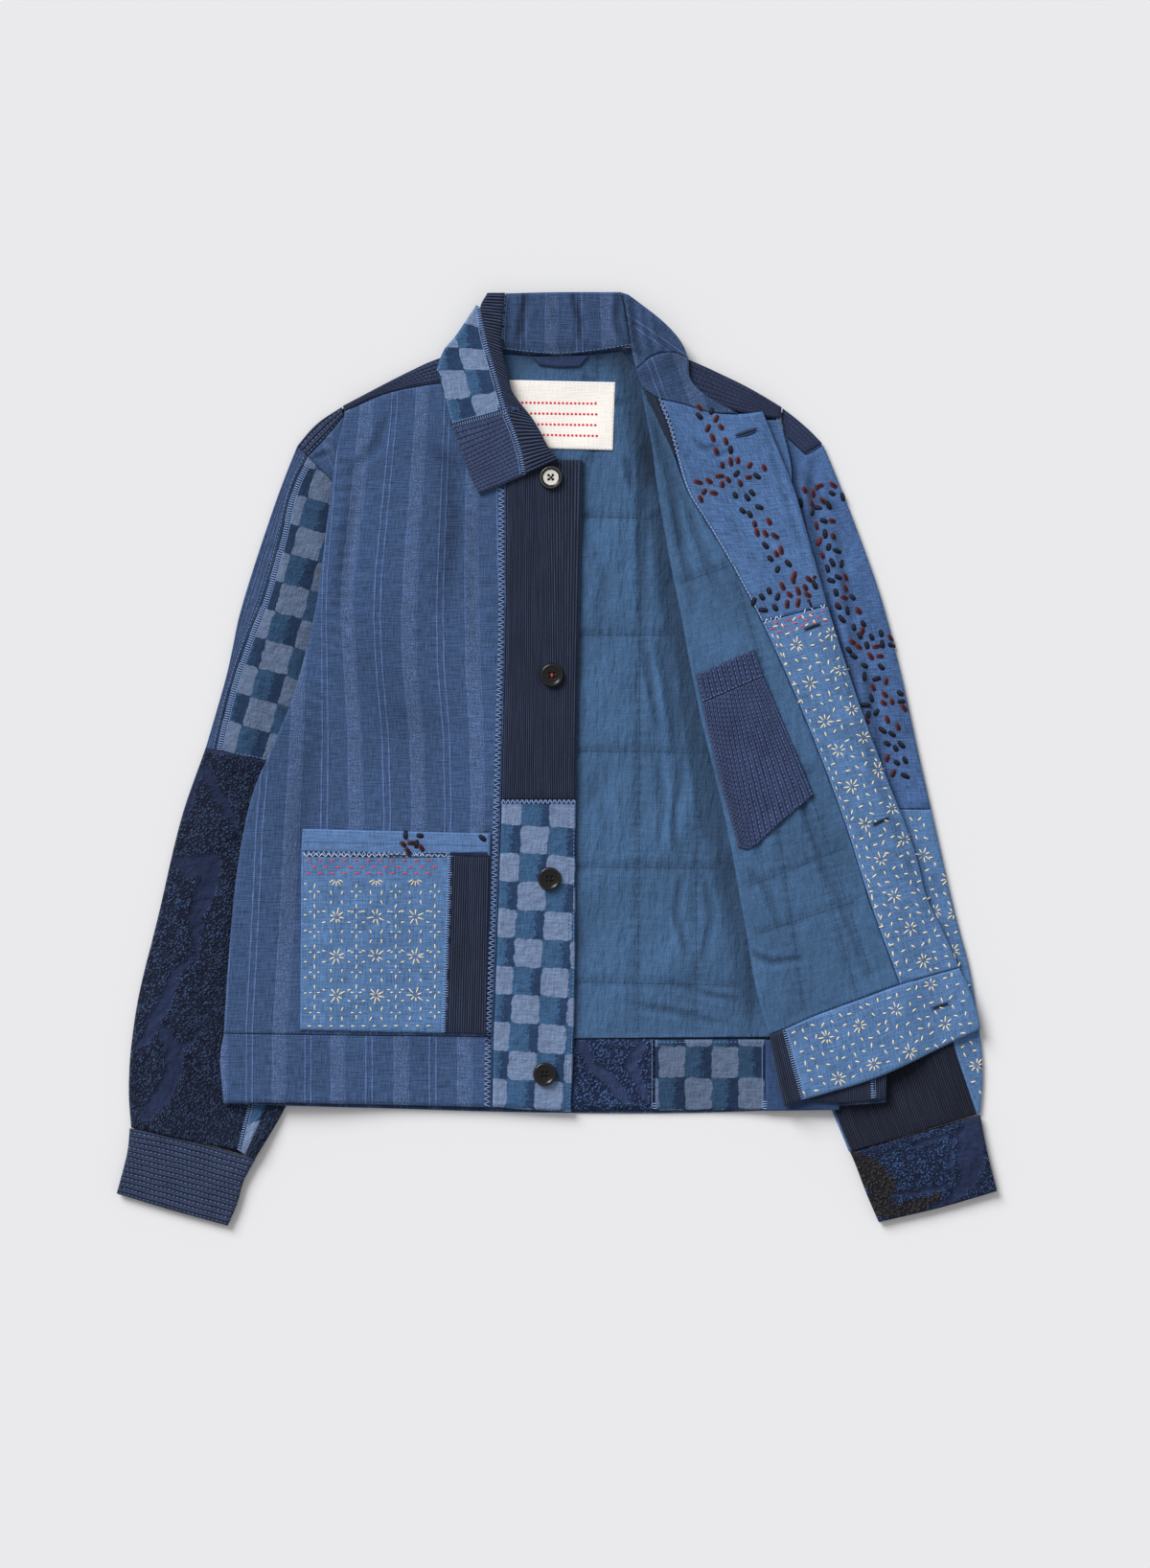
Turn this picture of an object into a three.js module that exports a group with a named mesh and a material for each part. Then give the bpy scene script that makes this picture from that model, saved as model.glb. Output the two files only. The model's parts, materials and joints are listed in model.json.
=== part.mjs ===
// A patched cotton jacket laid flat on its back, one front folded open.
//
// Millimetres, +Z up. X runs across the jacket, +Y towards the collar, and the surface it lies on is z = 0. The origin
// is on that surface, under the middle of the jacket's outline. "Right" and "left" are the wearer's, so the right
// front is on the -X side.
//
// Every piece of cloth is a closed panel: four edges drawn in plan, filled by a Coons patch, laid on a height and
// given its thickness. The heights stack up as the cloth does: sleeves, back, fronts, pocket, collar, folded front.
import * as THREE from 'three';

// ---- Driving dimensions ----
const SEAM_GAP = 0.3; // between two panels that are sewn to each other
const THIN = 0.8; // label cloth
const PATCH = 1.6; // one patch of cloth with its turned edges
const SLEEVE = 2.0; // one side of a sleeve, cloth and wadding
const QUILT = 2.4; // cloth, wadding and lining sewn through
const BAND = 2.8; // placket, facing, cuff: cloth folded on itself

const SLEEVE_TOP = SLEEVE + 0.4; // underside of a flattened sleeve's upper layer
const LIFT = SLEEVE_TOP + SLEEVE + 0.5; // how far the sleeve raises what lies on it
const BACK = 2.2; // thickness of the back: cloth and wadding
const ON_BACK = BACK + 0.5; // underside of the lining and of the hem's inside
const LINING = 1.0;
const ON_LINING = ON_BACK + LINING + 0.3; // underside of the label and the hanger loop
const FRONT = ON_LINING + THIN + 0.3; // underside of the fronts and yokes
const ON_FRONT = FRONT + QUILT + SEAM_GAP; // underside of the pocket
const COLLAR = FRONT + BAND + 0.6; // underside of the collar's folded ends
const FOLDED = FRONT + QUILT + 0.9; // underside of the front that is folded back
const COLLAR_ROLL = 3; // how far the collar rises to its roll line
const SLEEVE_CROWN = 3.2; // how far a sleeve's upper layer rises between its edges
const RAMP = 100; // length of the slope from the sleeve down to the surface
const DROOP = 5; // how far the folded front sinks past the body's side
const LABEL_ROW = 317; // top of the label

const BUTTON_RADIUS = 9.8;
const BUTTON_HEIGHT = 3.6;
const BUTTONS = [[-5, 235], [-4, 70], [-6, -100], [-10, -263]];

// ---- Lines drawn in plan, from the top down, shared by the panels on both sides of them ----
// A seam is cut into equal steps once, so that both of its panels have the same points along it.
function seam(points, cells) {
  const curve = new THREE.CatmullRomCurve3(points.map(([x, y]) => new THREE.Vector3(x, y, 0)), false, 'centripetal');
  return Array.from({ length: cells + 1 }, (_, i) => curve.getPointAt(i / cells)).map((point) => [point.x, point.y]);
}

const RIGHT_SIDE = [ // the right front's free edge over the sleeve: armhole, then side seam
  [-177, 290], [-186, 246], [-194, 180], [-203, 118], [-225, 38], [-252, -23], [-266, -87], [-275, -182], [-278, -229],
];
const LEFT_SIDE = [ // the left front's side, mirrored, under the folded front
  [187, 283], [196, 251], [194, 200], [203, 118], [225, 38], [250, -23], [266, -87], [274, -182], [277, -286],
];
const PLACKET_SEAM_HIGH = seam([[-42, 266], [-42, 122], [-46, -34]], 7);
const PLACKET_SEAM_LOW = seam([[-46, -34], [-51, -182], [-53, -232]], 4);
const PLACKET_HEM_SEAM = seam([[-53, -232], [-54, -291]], 2);
const PLACKET_EDGE = [[22, 250], [18, 74], [16, -34]];
const FOLD = [
  [70, 308], [80, 257], [91, 183], [104, 118], [113, 69], [125, 13], [137, -34], [154, -122], [171, -214], [177, -230],
];
const NECK_STRIP_SEAM = seam([[84, 301], [93, 278], [100, 253]], 2);
const FACING_SEAM_HIGH = seam([[100, 253], [108, 226], [132, 186], [150, 154], [171, 114]], 5);
const FACING_SEAM_LOW = seam([[171, 114], [195, 62], [220, 1], [241, -56], [262, -122], [286, -188]], 10);
const FOLDED_HEM_SEAM = seam([[190, -225], [210, -216], [286, -188]], 4);
const FACING_HEM_SEAM = seam([[286, -188], [336, -174]], 3);
const LEFT_NECK_SEAM = seam([[84, 301], [114, 294], [142, 286], [152, 288]], 3);
const FRONT_EDGE_HIGH = [[172, 290], [181, 268], [198, 226], [211, 181], [226, 128]];
const FRONT_EDGE_LOW = [
  [226, 128], [242, 77], [258, 31], [281, -30], [299, -76], [306, -108], [318, -133], [336, -174],
];
const RIGHT_SLEEVE_OUT_HIGH = [[-217, 262], [-233, 221], [-265, 122], [-275, 75], [-294, 8]];
const RIGHT_SLEEVE_OUT_LOW = [[-294, 8], [-313, -46], [-334, -134], [-351, -205], [-358, -269], [-356, -308]];
const RIGHT_STRIP_SEAM = [[-208, 253], [-221, 226], [-232, 180], [-247, 129], [-258, 102], [-274, 54], [-285, 7]];
const RIGHT_SLEEVE_IN_HIGH = [[-184, 229], [-189, 122], [-183, -12]]; // under the body
const RIGHT_HIDDEN_SEAM = seam([[-183, -12], [-186, -100], [-204, -180], [-236, -232]], 9);
const RIGHT_SLIVER_SEAM = seam([[-236, -232], [-247, -258], [-256, -286], [-266, -327]], 3);
const RIGHT_SLEEVE_IN_LOW = [[-183, -12], [-190, -130], [-205, -230], [-225, -287], [-240, -313], [-252, -334]];
const LEFT_SLEEVE_OUT_HIGH = [[223, 262], [239, 223], [270, 138], [287, 74], [304, -3], [313, -42]];
const LEFT_SLEEVE_OUT_LOW = [[313, -42], [334, -134], [344, -171], [353, -223], [356, -263], [354, -295]];
const LEFT_STRIP_SEAM = [[268, -42], [299, -134], [320, -200], [331, -238], [351, -297]];
const LEFT_SLEEVE_IN_HIGH = [[196, 262], [196, 230], [190, 122], [184, -42]]; // under the body
const LEFT_SLEEVE_IN_LOW = [[184, -42], [186, -90], [215, -230], [231, -289], [242, -321], [246, -328]];
const COLLAR_ZIGZAG_HIGH = seam([[-64, 377], [-59, 350], [-52, 325], [-42, 290]], 7);
const COLLAR_ZIGZAG_LOW = seam([[-42, 290], [-31, 262], [-26, 237]], 3);
const COLLAR_ROLL_LINE = [
  [-43, 389], [-45, 366], [-46, 342], [-41, 324], [-38, 309], [-31, 298], [-18, 281], [-6, 259], [2, 250],
];
const COLLAR_CREASE = [[66, 325], [81, 337], [97, 339], [110, 334]];

// ---- Heights ----
const clamp = (value) => Math.min(1, Math.max(0, value));
const smooth = (value) => clamp(value) ** 2 * (3 - 2 * clamp(value));

// The x of a line drawn from the top down, at height y.
function lineX(line, y) {
  const below = line.findIndex((point) => point[1] <= y);
  if (below === 0) return line[0][0];
  if (below < 0) return line.at(-1)[0];
  const [[x0, y0], [x1, y1]] = [line[below - 1], line[below]];
  return x0 + (x1 - x0) * ((y - y0) / (y1 - y0));
}

const rightSleeveIn = [...RIGHT_SLEEVE_IN_HIGH, ...RIGHT_SLEEVE_IN_LOW.slice(1)];
const leftSleeveIn = [...LEFT_SLEEVE_IN_HIGH, ...LEFT_SLEEVE_IN_LOW.slice(1)];
const HEM = -292; // the lowest line of the body
const ARMHOLE_LOW = 120; // the body lies on the sleeves below this
const ARMHOLE_FADE = 120; // and comes down to the surface over this much above it

// How far the sleeves raise the body: full over them, then down a slope towards the middle, less at the shoulders.
function bodyLift(x, y, ahead = 0) {
  const fade = 1 - 0.9 * smooth((y - ARMHOLE_LOW) / ARMHOLE_FADE);
  const right = 1 - smooth((x - lineX(rightSleeveIn, y) - 8 - ahead) / RAMP);
  const left = smooth((x - lineX(leftSleeveIn, y) + 8 + ahead + RAMP) / RAMP);
  return LIFT * fade * Math.max(right, left);
}

// How far a sleeve's upper layer rises between its outer edge and the body's edge.
function sleeveCrown(x, y) {
  const rightOut = [...RIGHT_SLEEVE_OUT_HIGH, ...RIGHT_SLEEVE_OUT_LOW];
  const leftOut = [...LEFT_SLEEVE_OUT_HIGH, ...LEFT_SLEEVE_OUT_LOW];
  const inside = x < 0 ? x - lineX(rightOut, y) : lineX(leftOut, y) - x;
  const pastSide = x < 0 ? lineX(RIGHT_SIDE, y) - x : x - lineX(LEFT_SIDE, y);
  const outside = Math.max(pastSide - 8, HEM - 3 - y);
  return SLEEVE_CROWN * smooth(inside / 30) * smooth(outside / 28);
}

const onBody = (height) => (x, y) => height + bodyLift(x, y);
const flat = (height) => () => height;
const sleeveUpper = (x, y) => SLEEVE_TOP + sleeveCrown(x, y);
const cuffUpper = (seamY, endY) => (x, y) => {
  const t = clamp((y - endY) / (seamY - endY));
  return SLEEVE_TOP + 0.4 + 1.4 * Math.sin(Math.PI * (0.25 + 0.5 * t));
};

// The front that is folded back lies on the left front, and sinks onto the sleeve past the body's side.
function foldedFront(x, y) {
  const fade = 1 - 0.9 * smooth((y - ARMHOLE_LOW) / ARMHOLE_FADE);
  const past = smooth((x - lineX(LEFT_SIDE, y) - 4) / 45);
  return FOLDED + bodyLift(x, y, 10) - DROOP * fade * past;
}

// The collar's right end rises towards its roll line.
function collarRight(x, y) {
  const fromRoll = lineX(COLLAR_ROLL_LINE, y) - x;
  return COLLAR + COLLAR_ROLL * (1 - smooth(fromRoll / 50));
}

const COLLAR_SEAM_HEIGHT = 5.0; // underside of the standing collar at the neck seam
const collarBack = (x, y) => COLLAR_SEAM_HEIGHT + 1.6 * smooth((y - 342) / 40);
const collarLeft = (x, y) => {
  const onYoke = smooth((x - 58) / 26);
  const roll = smooth((x + y - 405) / 45);
  return COLLAR_SEAM_HEIGHT + (FOLDED - COLLAR_SEAM_HEIGHT) * onYoke + 2 * roll * onYoke;
};

// ---- Materials, one for each cloth ----
const cloth = (colour, roughness = 0.9) => new THREE.MeshStandardMaterial({ color: colour, roughness, metalness: 0 });
const striped = () => cloth('#42567c');
const corduroy = () => cloth('#272e41', 0.95);
const liningCloth = () => cloth('#416086');
const starStitched = () => cloth('#527aa8');
const plainBlue = () => cloth('#506e9b');
const darkStitched = () => cloth('#35415d');
const checked = () => cloth('#5c7394');
const looped = () => cloth('#1f2538', 0.95);
const labelCloth = () => cloth('#fdf7f4');
const horn = () => cloth('#1a1715', 0.35);

// ---- Panels ----
// The points of an edge: its own where they are as many as the grid needs, otherwise evenly spaced on a smooth curve.
function edgePoints(points, cells) {
  return points.length === cells + 1 ? points : seam(points, cells);
}

// The Coons patch of four edges: grid[row][column], rows from the top down, columns from -X to +X.
function coonsGrid({ top, bottom, left, right, across, down }) {
  const [north, south] = [edgePoints(top, across), edgePoints(bottom, across)];
  const [west, east] = [edgePoints(left, down), edgePoints(right, down)];
  const blend = (row, column, axis) => {
    const [u, v] = [column / across, row / down];
    const ruled = (1 - v) * north[column][axis] + v * south[column][axis]
      + (1 - u) * west[row][axis] + u * east[row][axis];
    const corners = (1 - v) * ((1 - u) * north[0][axis] + u * north[across][axis])
      + v * ((1 - u) * south[0][axis] + u * south[across][axis]);
    return ruled - corners;
  };
  return Array.from({ length: down + 1 }, (_, row) => Array.from({ length: across + 1 },
    (__, column) => [blend(row, column, 0), blend(row, column, 1)]));
}

// The rim of a grid as [row, column] pairs, anticlockwise seen from above.
function rimOf(across, down) {
  const west = Array.from({ length: down }, (_, i) => [i, 0]);
  const south = Array.from({ length: across }, (_, i) => [down, i]);
  const east = Array.from({ length: down }, (_, i) => [down - i, across]);
  const north = Array.from({ length: across }, (_, i) => [0, across - i]);
  return [...west, ...south, ...east, ...north];
}

// Draws the rim in by half a seam gap, along the mean of the two neighbouring edges' normals.
function drawIn(grid, rim) {
  const points = rim.map(([row, column]) => grid[row][column]);
  const normal = (from, to) => {
    const length = Math.hypot(to[0] - from[0], to[1] - from[1]);
    return [(from[1] - to[1]) / length, (to[0] - from[0]) / length];
  };
  rim.forEach(([row, column], i) => {
    const before = normal(points.at(i - 1), points[i]);
    const after = normal(points[i], points[(i + 1) % points.length]);
    const bisector = [before[0] + after[0], before[1] + after[1]];
    const size = Math.hypot(...bisector);
    const reach = (SEAM_GAP / 2) * Math.min(2 / size, 2.5);
    grid[row][column] = [points[i][0] + (bisector[0] / size) * reach, points[i][1] + (bisector[1] / size) * reach];
  });
}

// A closed panel: its lower side follows level(x, y), and its upper side is moved up by its thickness.
function panel(name, material, edges, level, thickness) {
  const { across, down } = edges;
  const grid = coonsGrid(edges);
  const rim = rimOf(across, down);
  drawIn(grid, rim);
  const count = (across + 1) * (down + 1);
  const position = [];
  for (const rise of [thickness, 0]) {
    for (const [x, y] of grid.flat()) position.push(x, y, level(x, y) + rise);
  }
  const id = (row, column) => row * (across + 1) + column;
  const index = [];
  for (let row = 0; row < down; row += 1) {
    for (let column = 0; column < across; column += 1) {
      const [a, b] = [id(row, column), id(row + 1, column)];
      const [c, d] = [id(row + 1, column + 1), id(row, column + 1)];
      index.push(a, b, c, a, c, d);
      index.push(count + a, count + c, count + b, count + a, count + d, count + c);
    }
  }
  rim.forEach(([row, column], i) => {
    const here = id(row, column);
    const next = id(...rim[(i + 1) % rim.length]);
    index.push(here, count + here, count + next, here, count + next, next);
  });
  const geometry = new THREE.BufferGeometry();
  geometry.setAttribute('position', new THREE.Float32BufferAttribute(position, 3));
  geometry.setIndex(index);
  const mesh = new THREE.Mesh(geometry, material);
  mesh.name = name;
  return mesh;
}

// Each group's panels are made by its own function.
function group(...meshes) {
  const result = new THREE.Group();
  result.add(...meshes);
  return result;
}

function back() {
  const hemLine = [[-277, -288], [-150, -292], [0, -296], [150, -295], [275, -287]];
  const outer = {
    top: [[-174, 292], [-141, 313], [-101, 332], [-60, 344], [0, 338], [62, 344], [110, 333], [161, 309], [184, 293]],
    left: [[-174, 292], [-174, 246], [-180, 180], [-184, 130], [-222, 30], [-251, -28], [-264, -87], [-277, -288]],
    right: [[184, 293], [182, 246], [184, 180], [184, 130], [220, 30], [249, -28], [264, -87], [275, -287]],
    bottom: hemLine,
    across: 16,
    down: 12,
  };
  const inside = {
    top: [[-50, 339], [0, 336], [55, 341]],
    left: [[-50, 339], [-40, 300], [-14, 255], [-12, 122], [-14, -34], [-14, -234]],
    right: [[55, 341], [86, 300], [100, 240], [122, 100], [150, -34], [192, -232]],
    bottom: [[-14, -234], [192, -232]],
    across: 8,
    down: 12,
  };
  const hem = (from, to, across) => ({
    top: [[from, -234.5], [to, -234]],
    left: [[from, -234.5], [from, -294]],
    right: [[to, -234], [to, -293]],
    bottom: [[from, -294], [to, -293]],
    across,
    down: 2,
  });
  return group(
    panel('back', striped(), outer, onBody(0), BACK),
    panel('back_lining', liningCloth(), inside, onBody(ON_BACK), LINING),
    panel('back_hem_looped', looped(), hem(-14, 82, 4), onBody(ON_BACK), LINING + 0.4),
    panel('back_hem_checked', checked(), hem(82, 174, 4), onBody(ON_BACK), LINING + 0.4),
    panel('back_hem_plain', plainBlue(), hem(174, 236, 4), onBody(ON_BACK), LINING + 0.4),
  );
}

function rightFront() {
  const body = {
    top: [[-177, 290], [-158, 299], [-140, 306], [-104, 313], [-54, 318]],
    left: RIGHT_SIDE,
    right: [[-54, 318], [-48, 292], ...PLACKET_SEAM_HIGH, ...PLACKET_SEAM_LOW.slice(1)],
    bottom: [[-278, -229], [-53, -232]],
    across: 8,
    down: 13,
  };
  const hemBand = {
    top: [[-278, -229], [-53, -232]],
    left: [[-278, -229], [-281, -252], [-278, -287]],
    right: PLACKET_HEM_SEAM,
    bottom: [[-278, -287], [-223, -287], [-54, -291]],
    across: 8,
    down: 2,
  };
  const placketHigh = {
    top: [[-42, 266], [-25, 255], [-8, 251], [22, 250]],
    left: PLACKET_SEAM_HIGH,
    right: PLACKET_EDGE,
    bottom: [[-46, -34], [16, -34]],
    across: 3,
    down: 7,
  };
  const placketLow = {
    top: [[-46, -34], [16, -34]],
    left: [...PLACKET_SEAM_LOW, ...PLACKET_HEM_SEAM.slice(1)],
    right: [[16, -34], [15, -202], [12, -295]],
    bottom: [[-54, -291], [12, -295]],
    across: 3,
    down: 6,
  };
  const yoke = {
    top: [[-179, 295], [-141, 315], [-121, 325], [-101, 334], [-60, 346]],
    left: [[-179, 295], [-177, 290]],
    right: [[-60, 346], [-54, 318]],
    bottom: [[-177, 290], [-158, 299], [-140, 306], [-104, 313], [-54, 318]],
    across: 8,
    down: 2,
  };
  return group(
    panel('front_right', striped(), body, onBody(FRONT), QUILT),
    panel('hem_band_right', striped(), hemBand, onBody(FRONT), QUILT),
    panel('placket_corduroy', corduroy(), placketHigh, onBody(FRONT), BAND),
    panel('placket_checked', checked(), placketLow, onBody(FRONT), BAND),
    panel('yoke_right', darkStitched(), yoke, onBody(FRONT), QUILT),
  );
}

function patchPocket() {
  const corners = { topLeft: [-212, -58], topRight: [-55, -62], bottomLeft: [-214, -226], bottomRight: [-58, -230] };
  const [bandLeft, bandRight] = [[-213, -77], [-55.5, -81]]; // the band's lower seam
  const [stripTop, stripBottom] = [[-89, -80], [-94, -229]]; // the corduroy strip's seam
  const level = (x, y) => ON_FRONT + 0.4 + bodyLift(x, y);
  const quad = (topLeft, topRight, bottomLeft, bottomRight, across, down) => ({
    top: [topLeft, topRight],
    left: [topLeft, bottomLeft],
    right: [topRight, bottomRight],
    bottom: [bottomLeft, bottomRight],
    across,
    down,
  });
  const band = quad(corners.topLeft, corners.topRight, bandLeft, bandRight, 6, 1);
  const panelEdges = quad(bandLeft, stripTop, corners.bottomLeft, stripBottom, 5, 5);
  const strip = quad(stripTop, bandRight, stripBottom, corners.bottomRight, 2, 5);
  return group(
    panel('pocket_band', plainBlue(), band, level, PATCH + 0.4),
    panel('pocket_star', starStitched(), panelEdges, level, PATCH),
    panel('pocket_corduroy', corduroy(), strip, level, PATCH),
  );
}

function rightSleeve() {
  const cuffSeam = [[-356, -308], [-305, -319], [-266, -327], [-260, -331], [-252, -334]];
  const under = {
    top: [[-217, 262], [-204, 275], [-177.5, 294.4]],
    left: [...RIGHT_SLEEVE_OUT_HIGH, ...RIGHT_SLEEVE_OUT_LOW.slice(1)],
    right: [[-177.5, 294.4], [-178, 262], ...rightSleeveIn],
    bottom: [[-356, -308], [-305, -319], [-252, -334]],
    across: 4,
    down: 12,
  };
  const head = {
    top: [[-217, 262], [-206, 275], [-196, 284], [-179.6, 294.6]],
    left: [[-217, 262], [-208, 253]],
    right: [[-179.6, 294.6], [-178, 287]],
    bottom: [[-208, 253], [-192, 270], [-178, 287]],
    across: 3,
    down: 2,
  };
  const strip = {
    top: [[-217, 262], [-208, 253]],
    left: RIGHT_SLEEVE_OUT_HIGH,
    right: RIGHT_STRIP_SEAM,
    bottom: [[-294, 8], [-285, 7]],
    across: 1,
    down: 12,
  };
  const patch = {
    top: [[-208, 253], [-184, 229]],
    left: RIGHT_STRIP_SEAM,
    right: RIGHT_SLEEVE_IN_HIGH,
    bottom: [[-285, 7], [-242, -2], [-183, -12]],
    across: 5,
    down: 12,
  };
  const wedge = {
    top: [[-208, 253], [-192, 270], [-178, 287]],
    left: [[-208, 253], [-184, 229]],
    right: [[-178, 287], [-180, 229]],
    bottom: [[-184, 229], [-180, 229]],
    across: 3,
    down: 3,
  };
  const lower = {
    top: [[-294, 8], [-285, 7], [-242, -2], [-183, -12]],
    left: RIGHT_SLEEVE_OUT_LOW,
    right: [...RIGHT_HIDDEN_SEAM, ...RIGHT_SLIVER_SEAM.slice(1)],
    bottom: [cuffSeam[0], cuffSeam[1], cuffSeam[2]],
    across: 6,
    down: 12,
  };
  const sliver = {
    top: [[-236, -232], [-222, -232]],
    left: RIGHT_SLIVER_SEAM,
    right: [[-222, -232], [-233, -262], [-241, -288], [-260, -331]],
    bottom: [cuffSeam[2], cuffSeam[3]],
    across: 1,
    down: 3,
  };
  const inner = {
    top: [[-222, -232], [-206, -232]],
    left: [[-222, -232], [-233, -262], [-241, -288], [-260, -331]],
    right: [[-206, -232], [-214, -262], [-225, -287], [-252, -334]],
    bottom: [cuffSeam[3], cuffSeam[4]],
    across: 2,
    down: 3,
  };
  const cuff = {
    top: [[-357, -308.5], [-305, -319.5], [-252, -334.5]],
    left: [[-357, -308.5], [-359, -328], [-368, -363]],
    right: [[-252, -334.5], [-262, -353], [-267, -371], [-275, -390]],
    bottom: [[-368, -363], [-322, -377], [-275, -390]],
    across: 4,
    down: 3,
  };
  return group(
    panel('sleeve_right_under', looped(), under, flat(0), SLEEVE),
    panel('sleeve_right_head', darkStitched(), head, sleeveUpper, SLEEVE),
    panel('sleeve_right_strip', striped(), strip, sleeveUpper, SLEEVE),
    panel('sleeve_right_checked', checked(), patch, sleeveUpper, SLEEVE),
    panel('sleeve_right_wedge', striped(), wedge, sleeveUpper, SLEEVE),
    panel('sleeve_right_looped', looped(), lower, sleeveUpper, SLEEVE),
    panel('sleeve_right_sliver', checked(), sliver, sleeveUpper, SLEEVE),
    panel('sleeve_right_inner', looped(), inner, sleeveUpper, SLEEVE),
    panel('cuff_right_top', darkStitched(), cuff, cuffUpper(-320, -376), BAND - 0.2),
    panel('cuff_right_under', darkStitched(), cuff, flat(0), SLEEVE),
  );
}

function leftSleeve() {
  const under = {
    top: [[187, 291], [207, 278], [222, 263]],
    left: [[187, 291], [188, 262], ...LEFT_SLEEVE_IN_HIGH.slice(1), [184, -90], [212, -230], [228, -289], [244, -328]],
    right: [[222, 263], ...LEFT_SLEEVE_OUT_HIGH.slice(1), ...LEFT_SLEEVE_OUT_LOW.slice(1)],
    bottom: [[244, -328], [354, -295]],
    across: 4,
    down: 12,
  };
  const head = {
    top: [[188.6, 293.6], [207, 279], [222, 264]],
    left: [[188.6, 293.6], [188.2, 283], [192.6, 268.4]],
    right: [[222, 264], [207, 255]],
    bottom: [[192.6, 268.4], [207, 255]],
    across: 3,
    down: 2,
  };
  const plain = {
    top: [[193, 267.4], [207, 254], [223, 262]],
    left: [[193, 267.4], [197, 252], ...LEFT_SLEEVE_IN_HIGH.slice(1)],
    right: LEFT_SLEEVE_OUT_HIGH,
    bottom: [[184, -42], [268, -42], [313, -42]],
    across: 6,
    down: 12,
  };
  const corduroyPatch = {
    top: [[184, -42], [268, -42]],
    left: LEFT_SLEEVE_IN_LOW,
    right: LEFT_STRIP_SEAM,
    bottom: [[246, -328], [351, -297]],
    across: 7,
    down: 10,
  };
  const star = {
    top: [[268, -42], [313, -42]],
    left: LEFT_STRIP_SEAM,
    right: LEFT_SLEEVE_OUT_LOW,
    bottom: [[351, -297], [354, -295]],
    across: 2,
    down: 10,
  };
  const cuff = {
    top: [[245, -328.5], [300, -313], [354, -297.5]],
    left: [[245, -328.5], [250, -340], [259, -364], [269, -387]],
    right: [[354, -297.5], [359, -324], [368, -361]],
    bottom: [[269, -387], [320, -375], [368, -361]],
    across: 4,
    down: 3,
  };
  return group(
    panel('sleeve_left_under', starStitched(), under, flat(0), SLEEVE),
    panel('sleeve_left_head', darkStitched(), head, sleeveUpper, SLEEVE),
    panel('sleeve_left_plain', plainBlue(), plain, sleeveUpper, SLEEVE),
    panel('sleeve_left_corduroy', corduroy(), corduroyPatch, sleeveUpper, SLEEVE),
    panel('sleeve_left_star', starStitched(), star, sleeveUpper, SLEEVE),
    panel('cuff_left_top', looped(), cuff, cuffUpper(-313, -374), BAND - 0.2),
    panel('cuff_left_under', looped(), cuff, flat(0), SLEEVE),
  );
}

// The left front's outside, which the folded part hides but for a sliver at the shoulder and a corner at the hem.
function leftFront() {
  const body = {
    top: [[76, 296], [110, 291], [150, 284], [187, 283]],
    left: [[76, 296], ...FOLD.slice(1)],
    right: [...LEFT_SIDE.slice(0, -1), [277, -228]],
    bottom: [[177, -230], [277, -228]],
    across: 5,
    down: 12,
  };
  const hemBand = {
    top: [[180, -230], [277, -228]],
    left: [[180, -230], [195, -284]],
    right: [[277, -228], [275, -284]],
    bottom: [[195, -284], [240, -287], [275, -284]],
    across: 4,
    down: 2,
  };
  const yoke = {
    top: [[88, 340], [110, 334], [130, 325], [161, 310], [188, 294]],
    left: [[88, 340], [97, 304]],
    right: [[188, 294], [187, 284]],
    bottom: [[97, 304], [150, 290], [187, 284]],
    across: 6,
    down: 2,
  };
  return group(
    panel('front_left', plainBlue(), body, onBody(FRONT), QUILT),
    panel('hem_band_left', corduroy(), hemBand, onBody(FRONT), QUILT),
    panel('yoke_left', darkStitched(), yoke, onBody(FRONT), QUILT),
  );
}

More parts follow.
